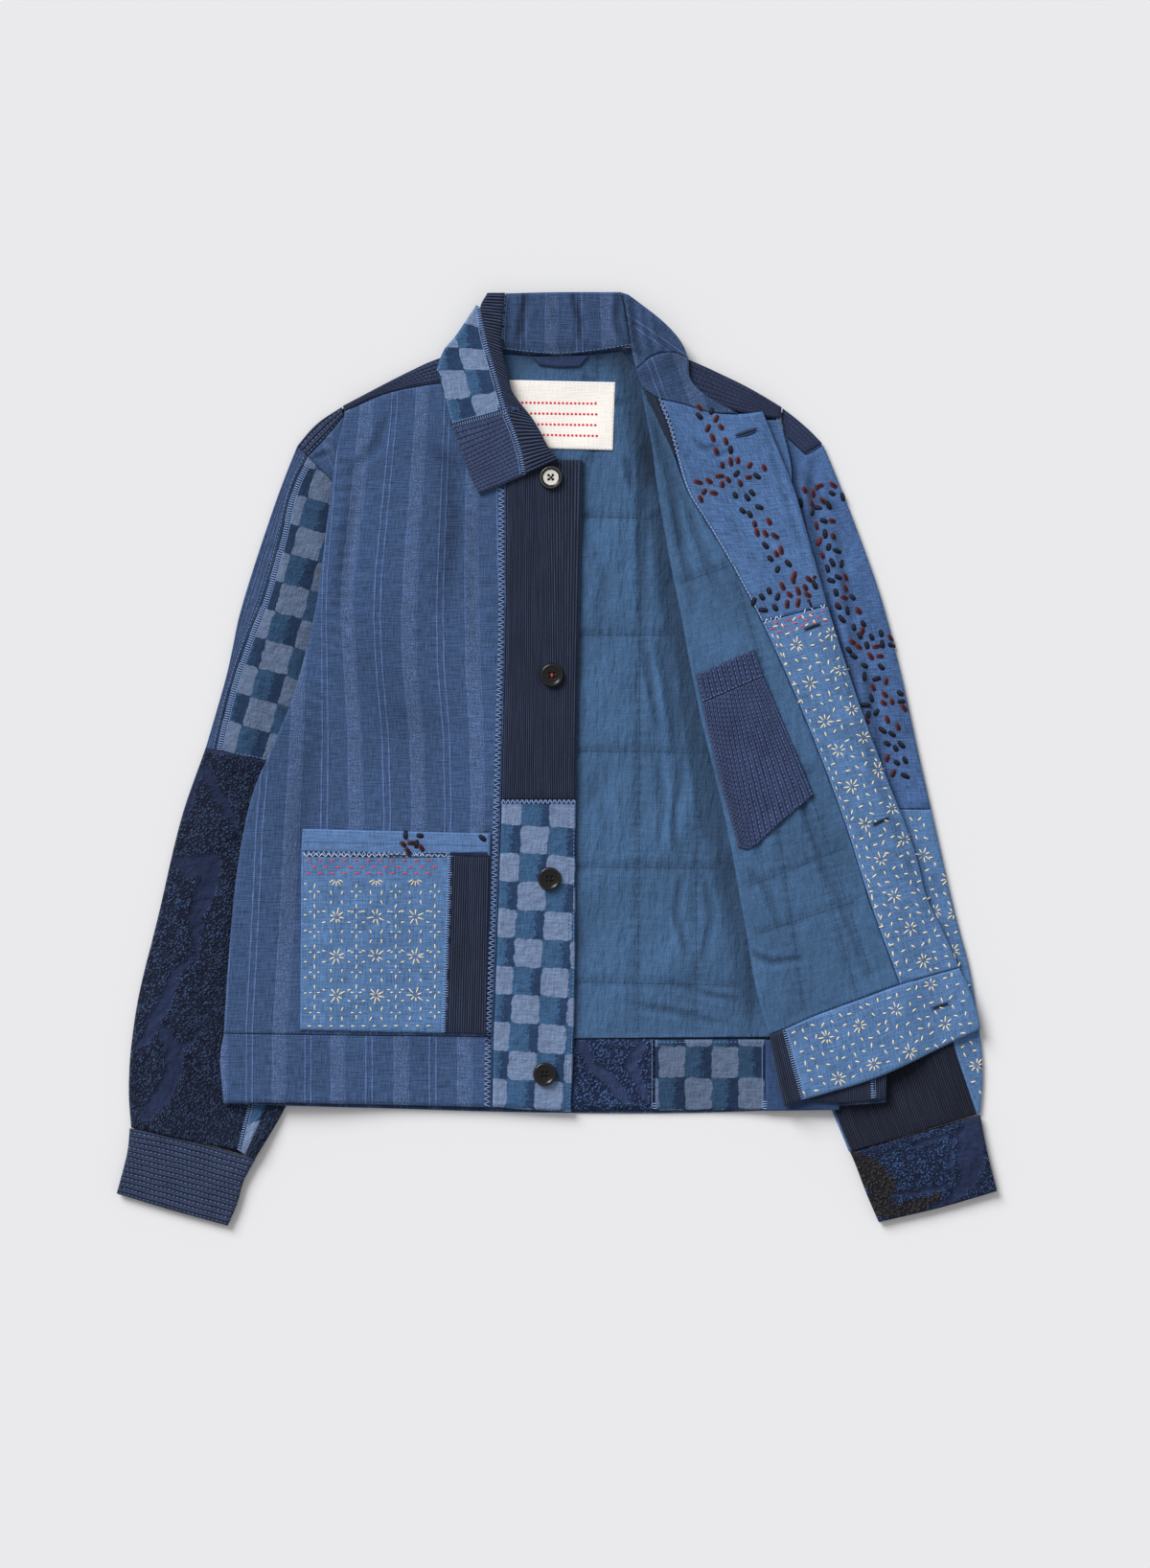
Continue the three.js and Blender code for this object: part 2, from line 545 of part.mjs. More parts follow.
// The left front's inside, folded back over it.
function foldedInside() {
  const lining = {
    top: [[70, 308], [73, 308]],
    left: FOLD,
    right: [[73, 308], [86, 280], [98, 254], ...FACING_SEAM_HIGH.slice(1), ...FACING_SEAM_LOW.slice(1)],
    bottom: [[177, -230], ...FOLDED_HEM_SEAM],
    across: 5,
    down: 17,
  };
  const neckStrip = {
    top: [[73, 308], [84, 301]],
    left: [[73, 308], [86, 280], [98, 254]],
    right: NECK_STRIP_SEAM,
    bottom: [[98, 254], [100, 253]],
    across: 1,
    down: 2,
  };
  const facingHigh = {
    top: [...LEFT_NECK_SEAM, [172, 290]],
    left: [...NECK_STRIP_SEAM, ...FACING_SEAM_HIGH.slice(1)],
    right: FRONT_EDGE_HIGH,
    bottom: [[171, 114], [226, 128]],
    across: 4,
    down: 7,
  };
  const facingLow = {
    top: [[171, 114], [226, 128]],
    left: FACING_SEAM_LOW,
    right: FRONT_EDGE_LOW,
    bottom: FACING_HEM_SEAM,
    across: 3,
    down: 10,
  };
  const hemStar = {
    top: [...FOLDED_HEM_SEAM, ...FACING_HEM_SEAM.slice(1)],
    left: [[190, -225], [206, -284]],
    right: [[336, -174], [348, -200], [354, -225]],
    bottom: [[206, -284], [266, -266], [327, -238], [354, -225]],
    across: 7,
    down: 3,
  };
  const hemCorduroy = {
    top: [[177, -230], [190, -225]],
    left: [[177, -230], [189, -290]],
    right: [[190, -225], [206, -284]],
    bottom: [[189, -290], [206, -284]],
    across: 1,
    down: 3,
  };
  const pocketBand = {
    top: [[116, 70], [165, 92]],
    left: [[116, 70], [121, 47]],
    right: [[165, 92], [172, 69]],
    bottom: [[121, 47], [172, 69]],
    across: 3,
    down: 1,
  };
  const pocket = {
    top: [[121, 47], [172, 69]],
    left: [[121, 47], [128, 13], [140, -34], [151, -74]],
    right: [[172, 69], [191, 25], [214, -30]],
    bottom: [[151, -74], [163, -74], [188, -52], [214, -30]],
    across: 3,
    down: 5,
  };
  const onLining = (x, y) => foldedFront(x, y) + SLEEVE + 0.5;
  return group(
    panel('front_left_lining', liningCloth(), lining, foldedFront, SLEEVE),
    panel('facing_neck', corduroy(), neckStrip, foldedFront, SLEEVE + 0.2),
    panel('facing_plain', plainBlue(), facingHigh, foldedFront, BAND),
    panel('facing_star', starStitched(), facingLow, foldedFront, BAND),
    panel('hem_facing_star', starStitched(), hemStar, foldedFront, BAND),
    panel('hem_facing_corduroy', corduroy(), hemCorduroy, foldedFront, BAND),
    panel('inner_pocket', darkStitched(), pocket, onLining, PATCH),
    panel('inner_pocket_band', darkStitched(), pocketBand, onLining, PATCH + 0.3),
  );
}

function collar() {
  const backInside = {
    top: [[-43, 389], [0, 390], [54, 390]],
    left: COLLAR_ROLL_LINE.slice(0, 3),
    right: [[54, 390], [58, 370], [62, 345]],
    bottom: [[-46, 342], [-9, 338], [20, 339], [62, 345]],
    across: 5,
    down: 3,
  };
  const fallBehind = {
    top: [[-56, 389], [0, 389.5], [56, 389]],
    left: [[-56, 389], [-60, 352]],
    right: [[56, 389], [66, 352]],
    bottom: [[-60, 352], [0, 350], [66, 352]],
    across: 5,
    down: 2,
  };
  const checkedPatch = {
    top: [[-67, 379], [-64, 377]],
    left: [[-67, 379], [-72, 372], [-84, 354], [-94, 342], [-100, 326], [-98, 317], [-90, 287], [-87, 278]],
    right: COLLAR_ZIGZAG_HIGH,
    bottom: [[-87, 278], [-42, 290]],
    across: 3,
    down: 7,
  };
  const darkPatch = {
    top: [[-87, 278], [-42, 290]],
    left: [[-87, 278], [-78, 252], [-72, 236], [-65, 221]],
    right: COLLAR_ZIGZAG_LOW,
    bottom: [[-65, 221], [-42, 230], [-26, 237]],
    across: 3,
    down: 3,
  };
  const rollStrip = {
    top: [[-58, 389], [-43, 389]],
    left: [[-58, 389], ...COLLAR_ZIGZAG_HIGH, ...COLLAR_ZIGZAG_LOW.slice(1)],
    right: COLLAR_ROLL_LINE,
    bottom: [[-26, 237], [2, 250]],
    across: 2,
    down: 11,
  };
  const leftEnd = {
    top: [[54, 390], [60, 388]],
    left: [[54, 390], [58, 370], [62, 345], [66, 325]],
    right: [[60, 388], [78, 374], [92, 362], [104, 348], [110, 334]],
    bottom: COLLAR_CREASE,
    across: 3,
    down: 6,
  };
  const leftFold = {
    top: COLLAR_CREASE,
    left: [[66, 325], [72, 310], [84, 301]],
    right: [[110, 334], [113, 314], [127, 302], [152, 288]],
    bottom: LEFT_NECK_SEAM,
    across: 3,
    down: 4,
  };
  return group(
    panel('collar_back', striped(), backInside, collarBack, QUILT),
    panel('collar_fall', striped(), fallBehind, flat(0), QUILT),
    panel('collar_right_checked', checked(), checkedPatch, collarRight, QUILT),
    panel('collar_right_dark', darkStitched(), darkPatch, collarRight, QUILT),
    panel('collar_right_corduroy', corduroy(), rollStrip, collarRight, QUILT),
    panel('collar_left', striped(), leftEnd, collarLeft, QUILT),
    panel('collar_left_fold', striped(), leftFold, (x, y) => Math.max(collarLeft(x, y), foldedFront(x, y)), QUILT),
  );
}

function neckTrim() {
  const label = {
    top: [[-42, LABEL_ROW], [49, LABEL_ROW - 2]],
    left: [[-42, LABEL_ROW], [-44, 260]],
    right: [[49, LABEL_ROW - 2], [47, 258]],
    bottom: [[-44, 260], [47, 258]],
    across: 3,
    down: 2,
  };
  const loop = {
    top: [[-21, 336], [3, 337], [27, 337]],
    left: [[-21, 336], [-15, 329]],
    right: [[27, 337], [19, 328]],
    bottom: [[-15, 329], [2, 327], [19, 328]],
    across: 4,
    down: 1,
  };
  return group(
    panel('label', labelCloth(), label, flat(ON_LINING), THIN),
    panel('hanger_loop', striped(), loop, flat(ON_LINING), PATCH),
  );
}

// A button turned in horn: a rim round a shallow dish, on a rounded underside.
function button(place, number) {
  const [radius, height] = [BUTTON_RADIUS, BUTTON_HEIGHT];
  const profile = [
    [0, 0], [radius * 0.78, 0], [radius, height * 0.45], [radius * 0.96, height * 0.9], [radius * 0.84, height],
    [radius * 0.7, height * 0.72], [0, height * 0.62],
  ];
  const geometry = new THREE.LatheGeometry(profile.map(([r, z]) => new THREE.Vector2(r, z)), 20);
  geometry.rotateX(Math.PI / 2);
  const mesh = new THREE.Mesh(geometry, horn());
  mesh.name = `button_${number}`;
  mesh.position.set(place[0], place[1], FRONT + BAND + SEAM_GAP);
  return mesh;
}

const jacket = group(
  rightSleeve(),
  leftSleeve(),
  back(),
  rightFront(),
  patchPocket(),
  leftFront(),
  foldedInside(),
  collar(),
  neckTrim(),
  group(...BUTTONS.map((place, i) => button(place, i + 1))),
);

export default jacket;
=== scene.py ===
# %% [markdown]
# # A patched indigo jacket, laid flat
# The jacket is some fifty cut pieces of blue cloth, sewn edge to edge or on top of each other and then
# worked over with running stitch. It lies on its back on a pale table. Its left front is folded back, so
# that the lining, the facing and an inner pocket show. The frame holds each cut piece as one thin closed
# solid. Here every piece becomes a finely drawn sheet on its own solid's lattice, gets creases and a cloth
# of its own, and is then stitched.

import json
import math

import bmesh
import bpy
import numpy as np
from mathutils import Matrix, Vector
from mathutils.bvhtree import BVHTree
from mathutils.kdtree import KDTree


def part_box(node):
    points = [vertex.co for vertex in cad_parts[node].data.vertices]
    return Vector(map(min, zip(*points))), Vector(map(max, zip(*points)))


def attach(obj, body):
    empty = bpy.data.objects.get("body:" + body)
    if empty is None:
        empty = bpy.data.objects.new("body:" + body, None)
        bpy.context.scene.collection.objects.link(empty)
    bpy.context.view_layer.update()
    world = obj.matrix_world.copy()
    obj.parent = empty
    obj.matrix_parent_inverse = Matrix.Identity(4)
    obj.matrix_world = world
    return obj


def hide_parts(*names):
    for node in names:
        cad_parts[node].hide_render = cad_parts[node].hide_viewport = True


MM = 0.001
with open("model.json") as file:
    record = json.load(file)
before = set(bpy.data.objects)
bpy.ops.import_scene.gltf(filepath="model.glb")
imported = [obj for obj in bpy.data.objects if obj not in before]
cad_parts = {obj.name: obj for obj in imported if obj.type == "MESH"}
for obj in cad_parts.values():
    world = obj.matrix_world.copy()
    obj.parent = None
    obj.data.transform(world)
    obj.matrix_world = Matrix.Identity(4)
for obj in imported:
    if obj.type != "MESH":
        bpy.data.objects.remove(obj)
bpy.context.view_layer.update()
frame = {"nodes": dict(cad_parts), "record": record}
SLOT = {part["node"]: part["material_slot"] for part in frame["record"]["subparts"]}
print(len(frame["nodes"]), "pieces in the frame,", len(set(SLOT.values())), "finishes")

# %% [markdown]
# ## A cut piece of cloth
# A tailor's piece has four sides, even where they curve. Each solid in the frame was made that way: a
# lattice of points between four sides, once for the upper face and once for the lower. The lattice is found
# again by walking round the rim of the upper face, and blending the four sides (a Coons patch) says which
# corner of the solid belongs to which row and column. A smooth curve carried through that lattice draws the
# piece as finely as needed, so cloth and solid keep the same place and outline. Simulation would give
# softer folds, but in other places than these.

# %% The solid's own corners
def welded(node):
    """The solid's points in millimetres, each once, and its triangles as numbers of those points."""
    mesh = frame["nodes"][node].data
    corners = np.empty(len(mesh.vertices) * 3)
    mesh.vertices.foreach_get("co", corners)
    mesh.calc_loop_triangles()
    triangles = np.empty(len(mesh.loop_triangles) * 3, int)
    mesh.loop_triangles.foreach_get("vertices", triangles)
    points, number = np.unique(np.round(corners.reshape(-1, 3) / MM, 3), axis=0, return_inverse=True)
    return points, number.ravel()[triangles.reshape(-1, 3)]


def upper_face(points, triangles):
    """Which points belong to faces that look up, and the rim of those faces, in order and anticlockwise."""
    a, b, c = (points[triangles[:, k]] for k in range(3))
    normal = np.cross(b - a, c - a)
    up = triangles[normal[:, 2] > 0.5 * np.linalg.norm(normal, axis=1)]
    edges = np.concatenate([up[:, [0, 1]], up[:, [1, 2]], up[:, [2, 0]]])
    there = edges[:, 0] * len(points) + edges[:, 1]
    back = edges[:, 1] * len(points) + edges[:, 0]
    border = edges[~np.isin(there, back)]
    following = dict(border.tolist())
    rim = [int(border[0, 0])]
    while following[rim[-1]] != rim[0]:
        rim.append(following[rim[-1]])
    on_top = np.zeros(len(points), bool)
    on_top[up.ravel()] = True
    return on_top, np.array(rim)


# %% A lattice from four sides, and a finer one through it
def between_sides(west, south, east, north):
    """A Coons patch: west to east blended, plus north to south, less the blend of the four corners."""
    t = np.linspace(0, 1, len(west))[:, None, None]
    s = np.linspace(0, 1, len(north))[None, :, None]
    corners = (1 - t) * ((1 - s) * west[0] + s * east[0]) + t * ((1 - s) * west[-1] + s * east[-1])
    return (1 - s) * west[:, None] + s * east[:, None] + (1 - t) * north[None] + t * south[None] - corners


def resample(lattice, rows, columns):
    """A Catmull-Rom curve through the lattice, down its columns and then along its rows, at fractional
    numbers."""
    for axis, places in ((0, rows), (1, columns)):
        lattice = np.moveaxis(lattice, axis, 0)
        last = len(lattice) - 2
        ends = np.concatenate([2 * lattice[:1] - lattice[1:2], lattice, 2 * lattice[-1:] - lattice[-2:-1]])
        first = np.clip(np.floor(places).astype(int), 0, last)
        f = (places - first).reshape(-1, *[1] * (lattice.ndim - 1))
        a, b, c, d = (ends[first + k] for k in range(4))
        curve = 2 * b + (c - a) * f + (2 * a - 5 * b + 4 * c - d) * f**2 + (3 * b - a - 3 * c + d) * f**3
        lattice = np.moveaxis(curve / 2, 0, axis)
    return lattice


EDGE_LINES = np.array([0, 0.4, 1.0, 1.9])  # mm from an edge, where a hem's roll needs its own lines
EDGE_ROLL = 2.2  # mm over which an edge rolls down
EDGE_CALM = 3  # mm over which a crease dies away towards an edge
THINNEST = 0.35  # mm of cloth that a deep crease leaves
DEEP = 1.6  # mm of relief that count as a full valley


def spaced(cells, length, step):
    """Fractional numbers from 0 to cells, about a step apart, with the edge lines added at both ends."""
    inner = np.linspace(EDGE_LINES[-1], length - EDGE_LINES[-1], max(2, round(length / step)))
    lines = np.concatenate([EDGE_LINES[:-1], inner, length - EDGE_LINES[-2::-1]])
    return np.sort(lines) / length * cells


# %% The panel: one cut piece, drawn finely
class Panel:
    """One cut piece. top and under are its faces as (row, column, xyz) in millimetres, s and t run from 0
    to 1 from west to east and from north to south, and edge is the distance to the nearest side."""

    def __init__(self, node, rows, step, corner):
        self.node = node
        points, triangles = welded(node)
        on_top, rim = upper_face(points, triangles)
        rim = np.roll(rim, -int((points[rim, :2] @ np.array(corner)).argmax()))
        ring = points[np.append(rim, rim[0])]
        across = len(rim) // 2 - rows
        south_west, south_east, north_east = rows, rows + across, 2 * rows + across
        coarse = between_sides(
            ring[: south_west + 1],
            ring[south_west : south_east + 1],
            ring[south_east : north_east + 1][::-1],
            ring[north_east:][::-1],
        )
        self.lattice = self.matched(coarse, points[on_top])
        below = self.matched(coarse, points[~on_top])
        self.width, self.length = self.sizes(self.lattice)
        across_step, down_step = step if isinstance(step, tuple) else (step, step)
        columns = spaced(across, self.width, across_step)
        lines = spaced(rows, self.length, down_step)
        self.top = resample(self.lattice, lines, columns)
        self.under = resample(below, lines, columns)
        self.s, self.t = np.meshgrid(columns / across, lines / rows)
        self.x, self.y = self.top[..., 0].copy(), self.top[..., 1].copy()
        self.measure_edges()

    @staticmethod
    def matched(coarse, points):
        """For each lattice place, the solid's point nearest to it as seen from above."""
        away = np.hypot(coarse[..., None, 0] - points[:, 0], coarse[..., None, 1] - points[:, 1])
        return points[away.argmin(axis=-1)]

    @staticmethod
    def sizes(lattice):
        """The longest row and the longest column, in millimetres."""
        row = np.linalg.norm(np.diff(lattice, axis=1), axis=-1).sum(axis=1).max()
        column = np.linalg.norm(np.diff(lattice, axis=0), axis=-1).sum(axis=0).max()
        return float(row), float(column)

    def measure_edges(self):
        """Distances to the four sides, summed along the rows and columns."""
        steps = np.linalg.norm(np.diff(self.top, axis=1), axis=-1)
        self.from_west = np.pad(np.cumsum(steps, axis=1), ((0, 0), (1, 0)))
        self.from_east = self.from_west[:, -1:] - self.from_west
        steps = np.linalg.norm(np.diff(self.top, axis=0), axis=-1)
        self.from_north = np.pad(np.cumsum(steps, axis=0), ((1, 0), (0, 0)))
        self.from_south = self.from_north[-1:] - self.from_north
        sides = [self.from_west, self.from_east, self.from_north, self.from_south]
        self.edge = np.minimum.reduce(sides)

    def raise_by(self, relief, room):
        """Adds relief to the upper face. Near an edge the face rolls down over a good half of its thickness,
        by a quarter circle, as a turned edge or a pulled seam does. A thin piece with room below it sinks as
        a whole. It also notes how much shade to paint into the colour: 1, darkest, in the deepest valleys,
        -1, painted lighter, on the highest ridges."""
        thick = np.maximum(self.top[..., 2] - self.under[..., 2], 0.3)
        fall = 1 - np.sqrt(np.clip(1 - (1 - np.clip(self.edge / EDGE_ROLL, 0, 1)) ** 2, 0, 1))
        relief = np.maximum(relief * np.clip(self.edge / EDGE_CALM, 0, 1), THINNEST - thick - room)
        self.level = self.top[..., 2] + relief
        # painted shade: valleys darker and ridges lighter in the finish's colour
        self.deep = np.clip(-relief / DEEP, -1, 1)
        self.under[..., 2] += np.minimum(relief + thick - THINNEST, 0)
        self.top[..., 2] += relief * (1 - fall) - 0.6 * thick * fall


print("a panel keeps the lattice of its solid")

# %% [markdown]
# ## Where each piece's rows run
# A lattice is fixed by its north-west corner and by how many cells go down its west side. The step is how
# finely the cloth is drawn: about 2 mm where it shows, 8 mm where it is hidden, and 0.45 mm across the wales
# of the corduroy, which are real ridges here.

# %% Rows and steps
SHOWN, HIDDEN, TIGHT, SMALL, STARRED = 2.6, 8.0, 1.7, 2.2, 2.0
WALES_DOWN, WALES_ACROSS = (0.45, 7.0), (5.0, 0.5)  # across the piece, then down it
CUTS = {
    "back": (12, HIDDEN),
    "back_lining": (12, SHOWN),
    "back_hem_looped": (2, TIGHT),
    "back_hem_checked": (2, SHOWN),
    "back_hem_plain": (2, SHOWN),
    "front_right": (13, SHOWN),
    "hem_band_right": (2, SHOWN),
    "placket_corduroy": (7, WALES_DOWN),
    "placket_checked": (6, SMALL),
    "yoke_right": (2, SHOWN),
    "pocket_band": (1, SMALL),
    "pocket_star": (5, SMALL),
    "pocket_corduroy": (5, WALES_DOWN),
    "front_left": (12, HIDDEN),
    "hem_band_left": (2, (0.5, 6.0)),
    "yoke_left": (2, SHOWN),
    "front_left_lining": (17, SHOWN),
    "facing_neck": (2, SHOWN),
    "facing_plain": (7, SMALL),
    "facing_star": (10, STARRED),
    "hem_facing_star": (3, STARRED),
    "hem_facing_corduroy": (3, (0.45, 2.0)),
    "inner_pocket": (5, SHOWN),
    "inner_pocket_band": (1, SHOWN),
    "sleeve_right_under": (12, HIDDEN),
    "sleeve_right_head": (2, SHOWN),
    "sleeve_right_strip": (12, SHOWN),
    "sleeve_right_checked": (12, SHOWN),
    "sleeve_right_wedge": (3, SHOWN),
    "sleeve_right_looped": (12, TIGHT),
    "sleeve_right_sliver": (3, SHOWN),
    "sleeve_right_inner": (3, TIGHT),
    "cuff_right_top": (3, SMALL),
    "cuff_right_under": (3, HIDDEN),
    "sleeve_left_under": (12, HIDDEN),
    "sleeve_left_head": (2, SHOWN),
    "sleeve_left_plain": (12, SHOWN),
    "sleeve_left_corduroy": (10, WALES_DOWN),
    "sleeve_left_star": (10, STARRED),
    "cuff_left_top": (3, TIGHT),
    "cuff_left_under": (3, HIDDEN),
    "collar_back": (3, SMALL),
    "collar_fall": (2, 5.0),
    "collar_right_checked": (7, SMALL),
    "collar_right_dark": (3, SMALL),
    "collar_right_corduroy": (11, WALES_ACROSS),
    "collar_left": (6, SMALL),
    "collar_left_fold": (4, SMALL),
    "label": (2, SMALL),
    "hanger_loop": (1, 1.0),
}
NORTH_WEST = (-1, 1)
CORNERS = {"sleeve_right_wedge": (-1, 0), "sleeve_right_head": (-1, 0.6), "sleeve_right_under": (-1, 0.8)}
panels = {node: Panel(node, *cut, CORNERS.get(node, NORTH_WEST)) for node, cut in CUTS.items()}
print(len(panels), "panels,", sum(p.s.size for p in panels.values()), "points on their upper faces")

# %% [markdown]
# ## Creases, puckers and quilting
# Cloth that has been worn, washed and laid out by hand is never flat. Where it is pushed together it makes
# soft troughs, where a seam pulls it gathers in short ripples, and quilting ties it down in lines. Each of
# these is a height over the flat piece, worked out from the distance to a line on it, and the heights are
# added up.

# %% Kinds of relief
WALE = 1.95  # mm from one ridge of the corduroy to the next


def to_path(p, path):
    """For each point of a panel: its distance to a line of (x, y) points, how far along the line, 0 to 1, and
    the line's length."""
    path = np.array(path, float)
    lengths = np.hypot(*np.diff(path, axis=0).T)
    starts = np.concatenate([[0], np.cumsum(lengths)])
    nearest, along = np.full(p.x.shape, np.inf), np.zeros(p.x.shape)
    for (ax, ay), (bx, by), start, length in zip(path[:-1], path[1:], starts, lengths):
        w = np.clip(((p.x - ax) * (bx - ax) + (p.y - ay) * (by - ay)) / length**2, 0, 1)
        away = np.hypot(p.x - ax - w * (bx - ax), p.y - ay - w * (by - ay))
        closer = away < nearest
        nearest = np.where(closer, away, nearest)
        along = np.where(closer, start + w * length, along)
    return nearest, along / starts[-1], starts[-1]


def trough(p, path, width, depth):
    """A soft valley along a line: a bell curve across it, faded out at both ends."""
    away, along, _ = to_path(p, path)
    return -DEEP * depth * np.exp(-((away / width) ** 2)) * np.sqrt(np.clip(np.sin(np.pi * along), 0, 1))


def crease(p, path, width, depth):
    """A fold that was pushed up: a narrow valley along the line with low ridges on both sides. It is a
    bell curve times 1 less one and a half squares of the distance in widths."""
    away, along, _ = to_path(p, path)
    q = away / width
    fade = np.sqrt(np.clip(np.sin(np.pi * along), 0, 1))
    return -DEEP * depth * (1 - 1.5 * q**2) * np.exp(-(q**2)) * fade


def gathers(p, path, pitch, reach, height, seed):
    """Ripples across a pulled seam: waves along the line, uneven in pitch, that die away from it."""
    away, along, length = to_path(p, path)
    turns = along * length / pitch
    uneven = 0.6 * np.sin(turns * 1.7 + seed) + 0.4 * np.sin(turns * 0.63 + 2 * seed)
    wave = np.cos(2 * np.pi * turns + 2 * uneven)
    return height * np.exp(-away / reach) * wave * np.sin(np.pi * along) ** 0.25


def swell(p, size, height, seed):
    """Slow unevenness of cloth that lies by itself: six long waves in seeded directions."""
    rng = np.random.default_rng(seed)
    total = np.zeros(p.x.shape)
    for _ in range(6):
        turn, phase = rng.uniform(0, 2 * np.pi, 2)
        wave = size * rng.uniform(0.6, 1.7)
        total += np.sin(2 * np.pi * (p.x * np.cos(turn) + p.y * np.sin(turn)) / wave + phase)
    return height * total / 3


def wales(p, way="u", pitch=WALE, height=0.45):
    """The ridges of corduroy across the cloth's u or v: round tops and narrow valleys, from a cosine to a low
    power."""
    return height * (2 * np.abs(np.cos(np.pi * getattr(p, way) / pitch)) ** 0.7 - 1)


def ribbed(p, way, height, pitch=4.6):
    """Low ribs under rows of stitching: a cosine across the cloth's u or v."""
    return height * np.cos(2 * np.pi * getattr(p, way) / pitch)


def sunken(p, depth):
    """Lower all over, for cloth that lies flat under other pieces."""
    return np.full(p.x.shape, -depth)


print("heights are in millimetres over the flat piece")

# %% [markdown]
# ## Which way the cloth runs
# Stripes, checks and wales follow the cloth, not the table. So each panel gets its own pair of cloth
# coordinates, in millimetres: u across the grain and v along it. A straight piece turns its frame a little,
# a sleeve follows its own sides, and the striped front is bent so that its stripes keep to the lines that
# they drape along.

# %% Grain
def level(x0=0, y0=0, turn=0):
    """Straight cloth laid with its grain turned by some degrees about (x0, y0)."""
    c, s = math.cos(math.radians(turn)), math.sin(math.radians(turn))
    return lambda p: ((p.x - x0) * c + (p.y - y0) * s, (p.y - y0) * c - (p.x - x0) * s)


def shaped(p):
    """Cloth that follows the piece's own sides, measured from its middle line and its north side."""
    return (p.s - 0.5) * p.width, -p.t * p.length


def from_east(u0, v0):
    """Cloth whose columns keep to the piece's east side, u0 from it, and whose rows start v0 above its south
    side."""

    def grain(p):
        steps = np.hypot(np.diff(p.x, axis=1), np.diff(p.y, axis=1))[:, ::-1]
        away = np.concatenate([np.zeros((len(steps), 1)), np.cumsum(steps, axis=1)], axis=1)[:, ::-1]
        return u0 - away, (1 - p.t) * p.length - v0

    return grain


STRIPES_APART = 51  # mm from one wide stripe to the next


def striped_along(*stripes):
    """Cloth whose wide stripes run along the given lines, each a list of (x, y) from top to bottom."""

    def grain(p):
        at = [np.interp(-p.y, [-y for _, y in line], [x for x, _ in line]) for line in stripes]
        before = np.clip(sum((p.x > x).astype(int) for x in at) - 1, 0, len(at) - 2)
        low, high = np.choose(before, at), np.choose(before + 1, at)
        return (before + (p.x - low) / (high - low)) * STRIPES_APART, p.y

    return grain


FRONT_STRIPES = (
    [(-208, 290), (-212, 118), (-217, 21), (-220, -40), (-223, -97), (-226, -148), (-231, -230)],
    [(-158, 300), (-159, 287), (-175, 154), (-176, 122), (-169, 21), (-167, -57), (-180, -230)],
    [(-112, 310), (-113, 287), (-122, 154), (-124, 118), (-123, 75), (-117, 21), (-115, -46), (-126, -230)],
    [(-70, 310), (-71.5, 154), (-70, 75), (-67, 21), (-66, -46), (-74, -230)],
)
HEM_STRIPES = (
    [(-231.6, -255), (-232, -290)],
    [(-182.8, -255), (-183, -290)],
    [(-130, -230), (-130, -290)],
    [(-76.7, -230), (-77, -290)],
)
COLLAR_STRIPES = ([(-52, 390), (-50, 340)], [(-4, 390), (-5, 340)], [(41, 390), (44, 340)])
GRAINS = {
    "front_right": striped_along(*FRONT_STRIPES),
    "hem_band_right": striped_along(*HEM_STRIPES),
    "collar_back": striped_along(*COLLAR_STRIPES),
    "back": level(),
    "back_lining": level(),
    "front_left_lining": level(150, 0, 18),
    "pocket_star": level(),
    "pocket_band": level(),
    "placket_checked": level(-18.7, -67.6, -3.1),
    "sleeve_right_checked": level(-207.6, 179.8, -15.8),
    "collar_left": level(91, 314, 55),
    "collar_left_fold": level(110, 318, 20),
    "back_hem_looped": level(),
    "back_hem_checked": level(96.2, -253.2),
    "collar_right_checked": from_east(14.7, 11.5),
}
for node, p in panels.items():
    p.u, p.v = GRAINS.get(node, shaped)(p)
print("grain given by hand to", len(GRAINS), "pieces; the others follow their own sides")

# %% [markdown]
# ## Relief of each piece
# The main creases are laid where arms, body and folded front push the cloth, in the manner of
# drapery studies: few, soft, and running away from what pulls them. Corduroy gets real wales, the looped
# cloth a rough pile in leaf-shaped areas, and the quilted lining a shallow net of troughs. Each piece has a
# list of kinds of relief with their numbers. Where a fold or the collar shelters a piece, painted shade
# is laid into its colour there, as into a valley.

# %% Areas of looped pile
VINES = {  # smooth leaves and stems in the pile, as lines of (x, y, width)
    "sleeve_right_looped": (
        [(-300, -10, 9), (-307, -34, 8), (-313, -48, 3)],
        [(-294, -8, 6), (-285, -27, 8), (-273, -46, 7), (-266, -61, 3)],
        [(-318, -84, 9), (-305, -91, 19), (-288, -86, 16), (-293, -111, 18), (-303, -131, 9), (-300, -158, 5),
         (-302, -172, 3)],
        [(-303, -131, 8), (-294, -146, 3)],
        [(-305, -165, 3), (-318, -179, 7), (-327, -202, 11), (-337, -222, 12), (-349, -239, 5)],
        [(-334, -222, 5), (-320, -239, 12), (-318, -259, 15), (-328, -279, 15), (-342, -296, 13)],
        [(-316, -239, 5), (-306, -236, 5), (-297, -226, 3)],
    ),
    "cuff_left_top": (
        [(348, -298, 12), (347, -314, 21), (346, -334, 24), (344, -353, 14), (330, -367, 6), (313, -375, 4)],
        [(332, -314, 3), (328, -332, 4), (330, -350, 3)],
        [(281, -364, 3), (301, -362, 4.5), (322, -358, 3)],
        [(300, -322, 4), (312, -318, 5), (326, -314, 3)],
    ),
    "back_hem_looped": (
        [(20, -238, 10), (28, -256, 8), (44, -268, 11), (58, -286, 7)],
        [(72, -238, 7), (62, -256, 9), (74, -280, 7)],
        [(2, -250, 5), (12, -272, 8), (10, -290, 5)],
    ),
}
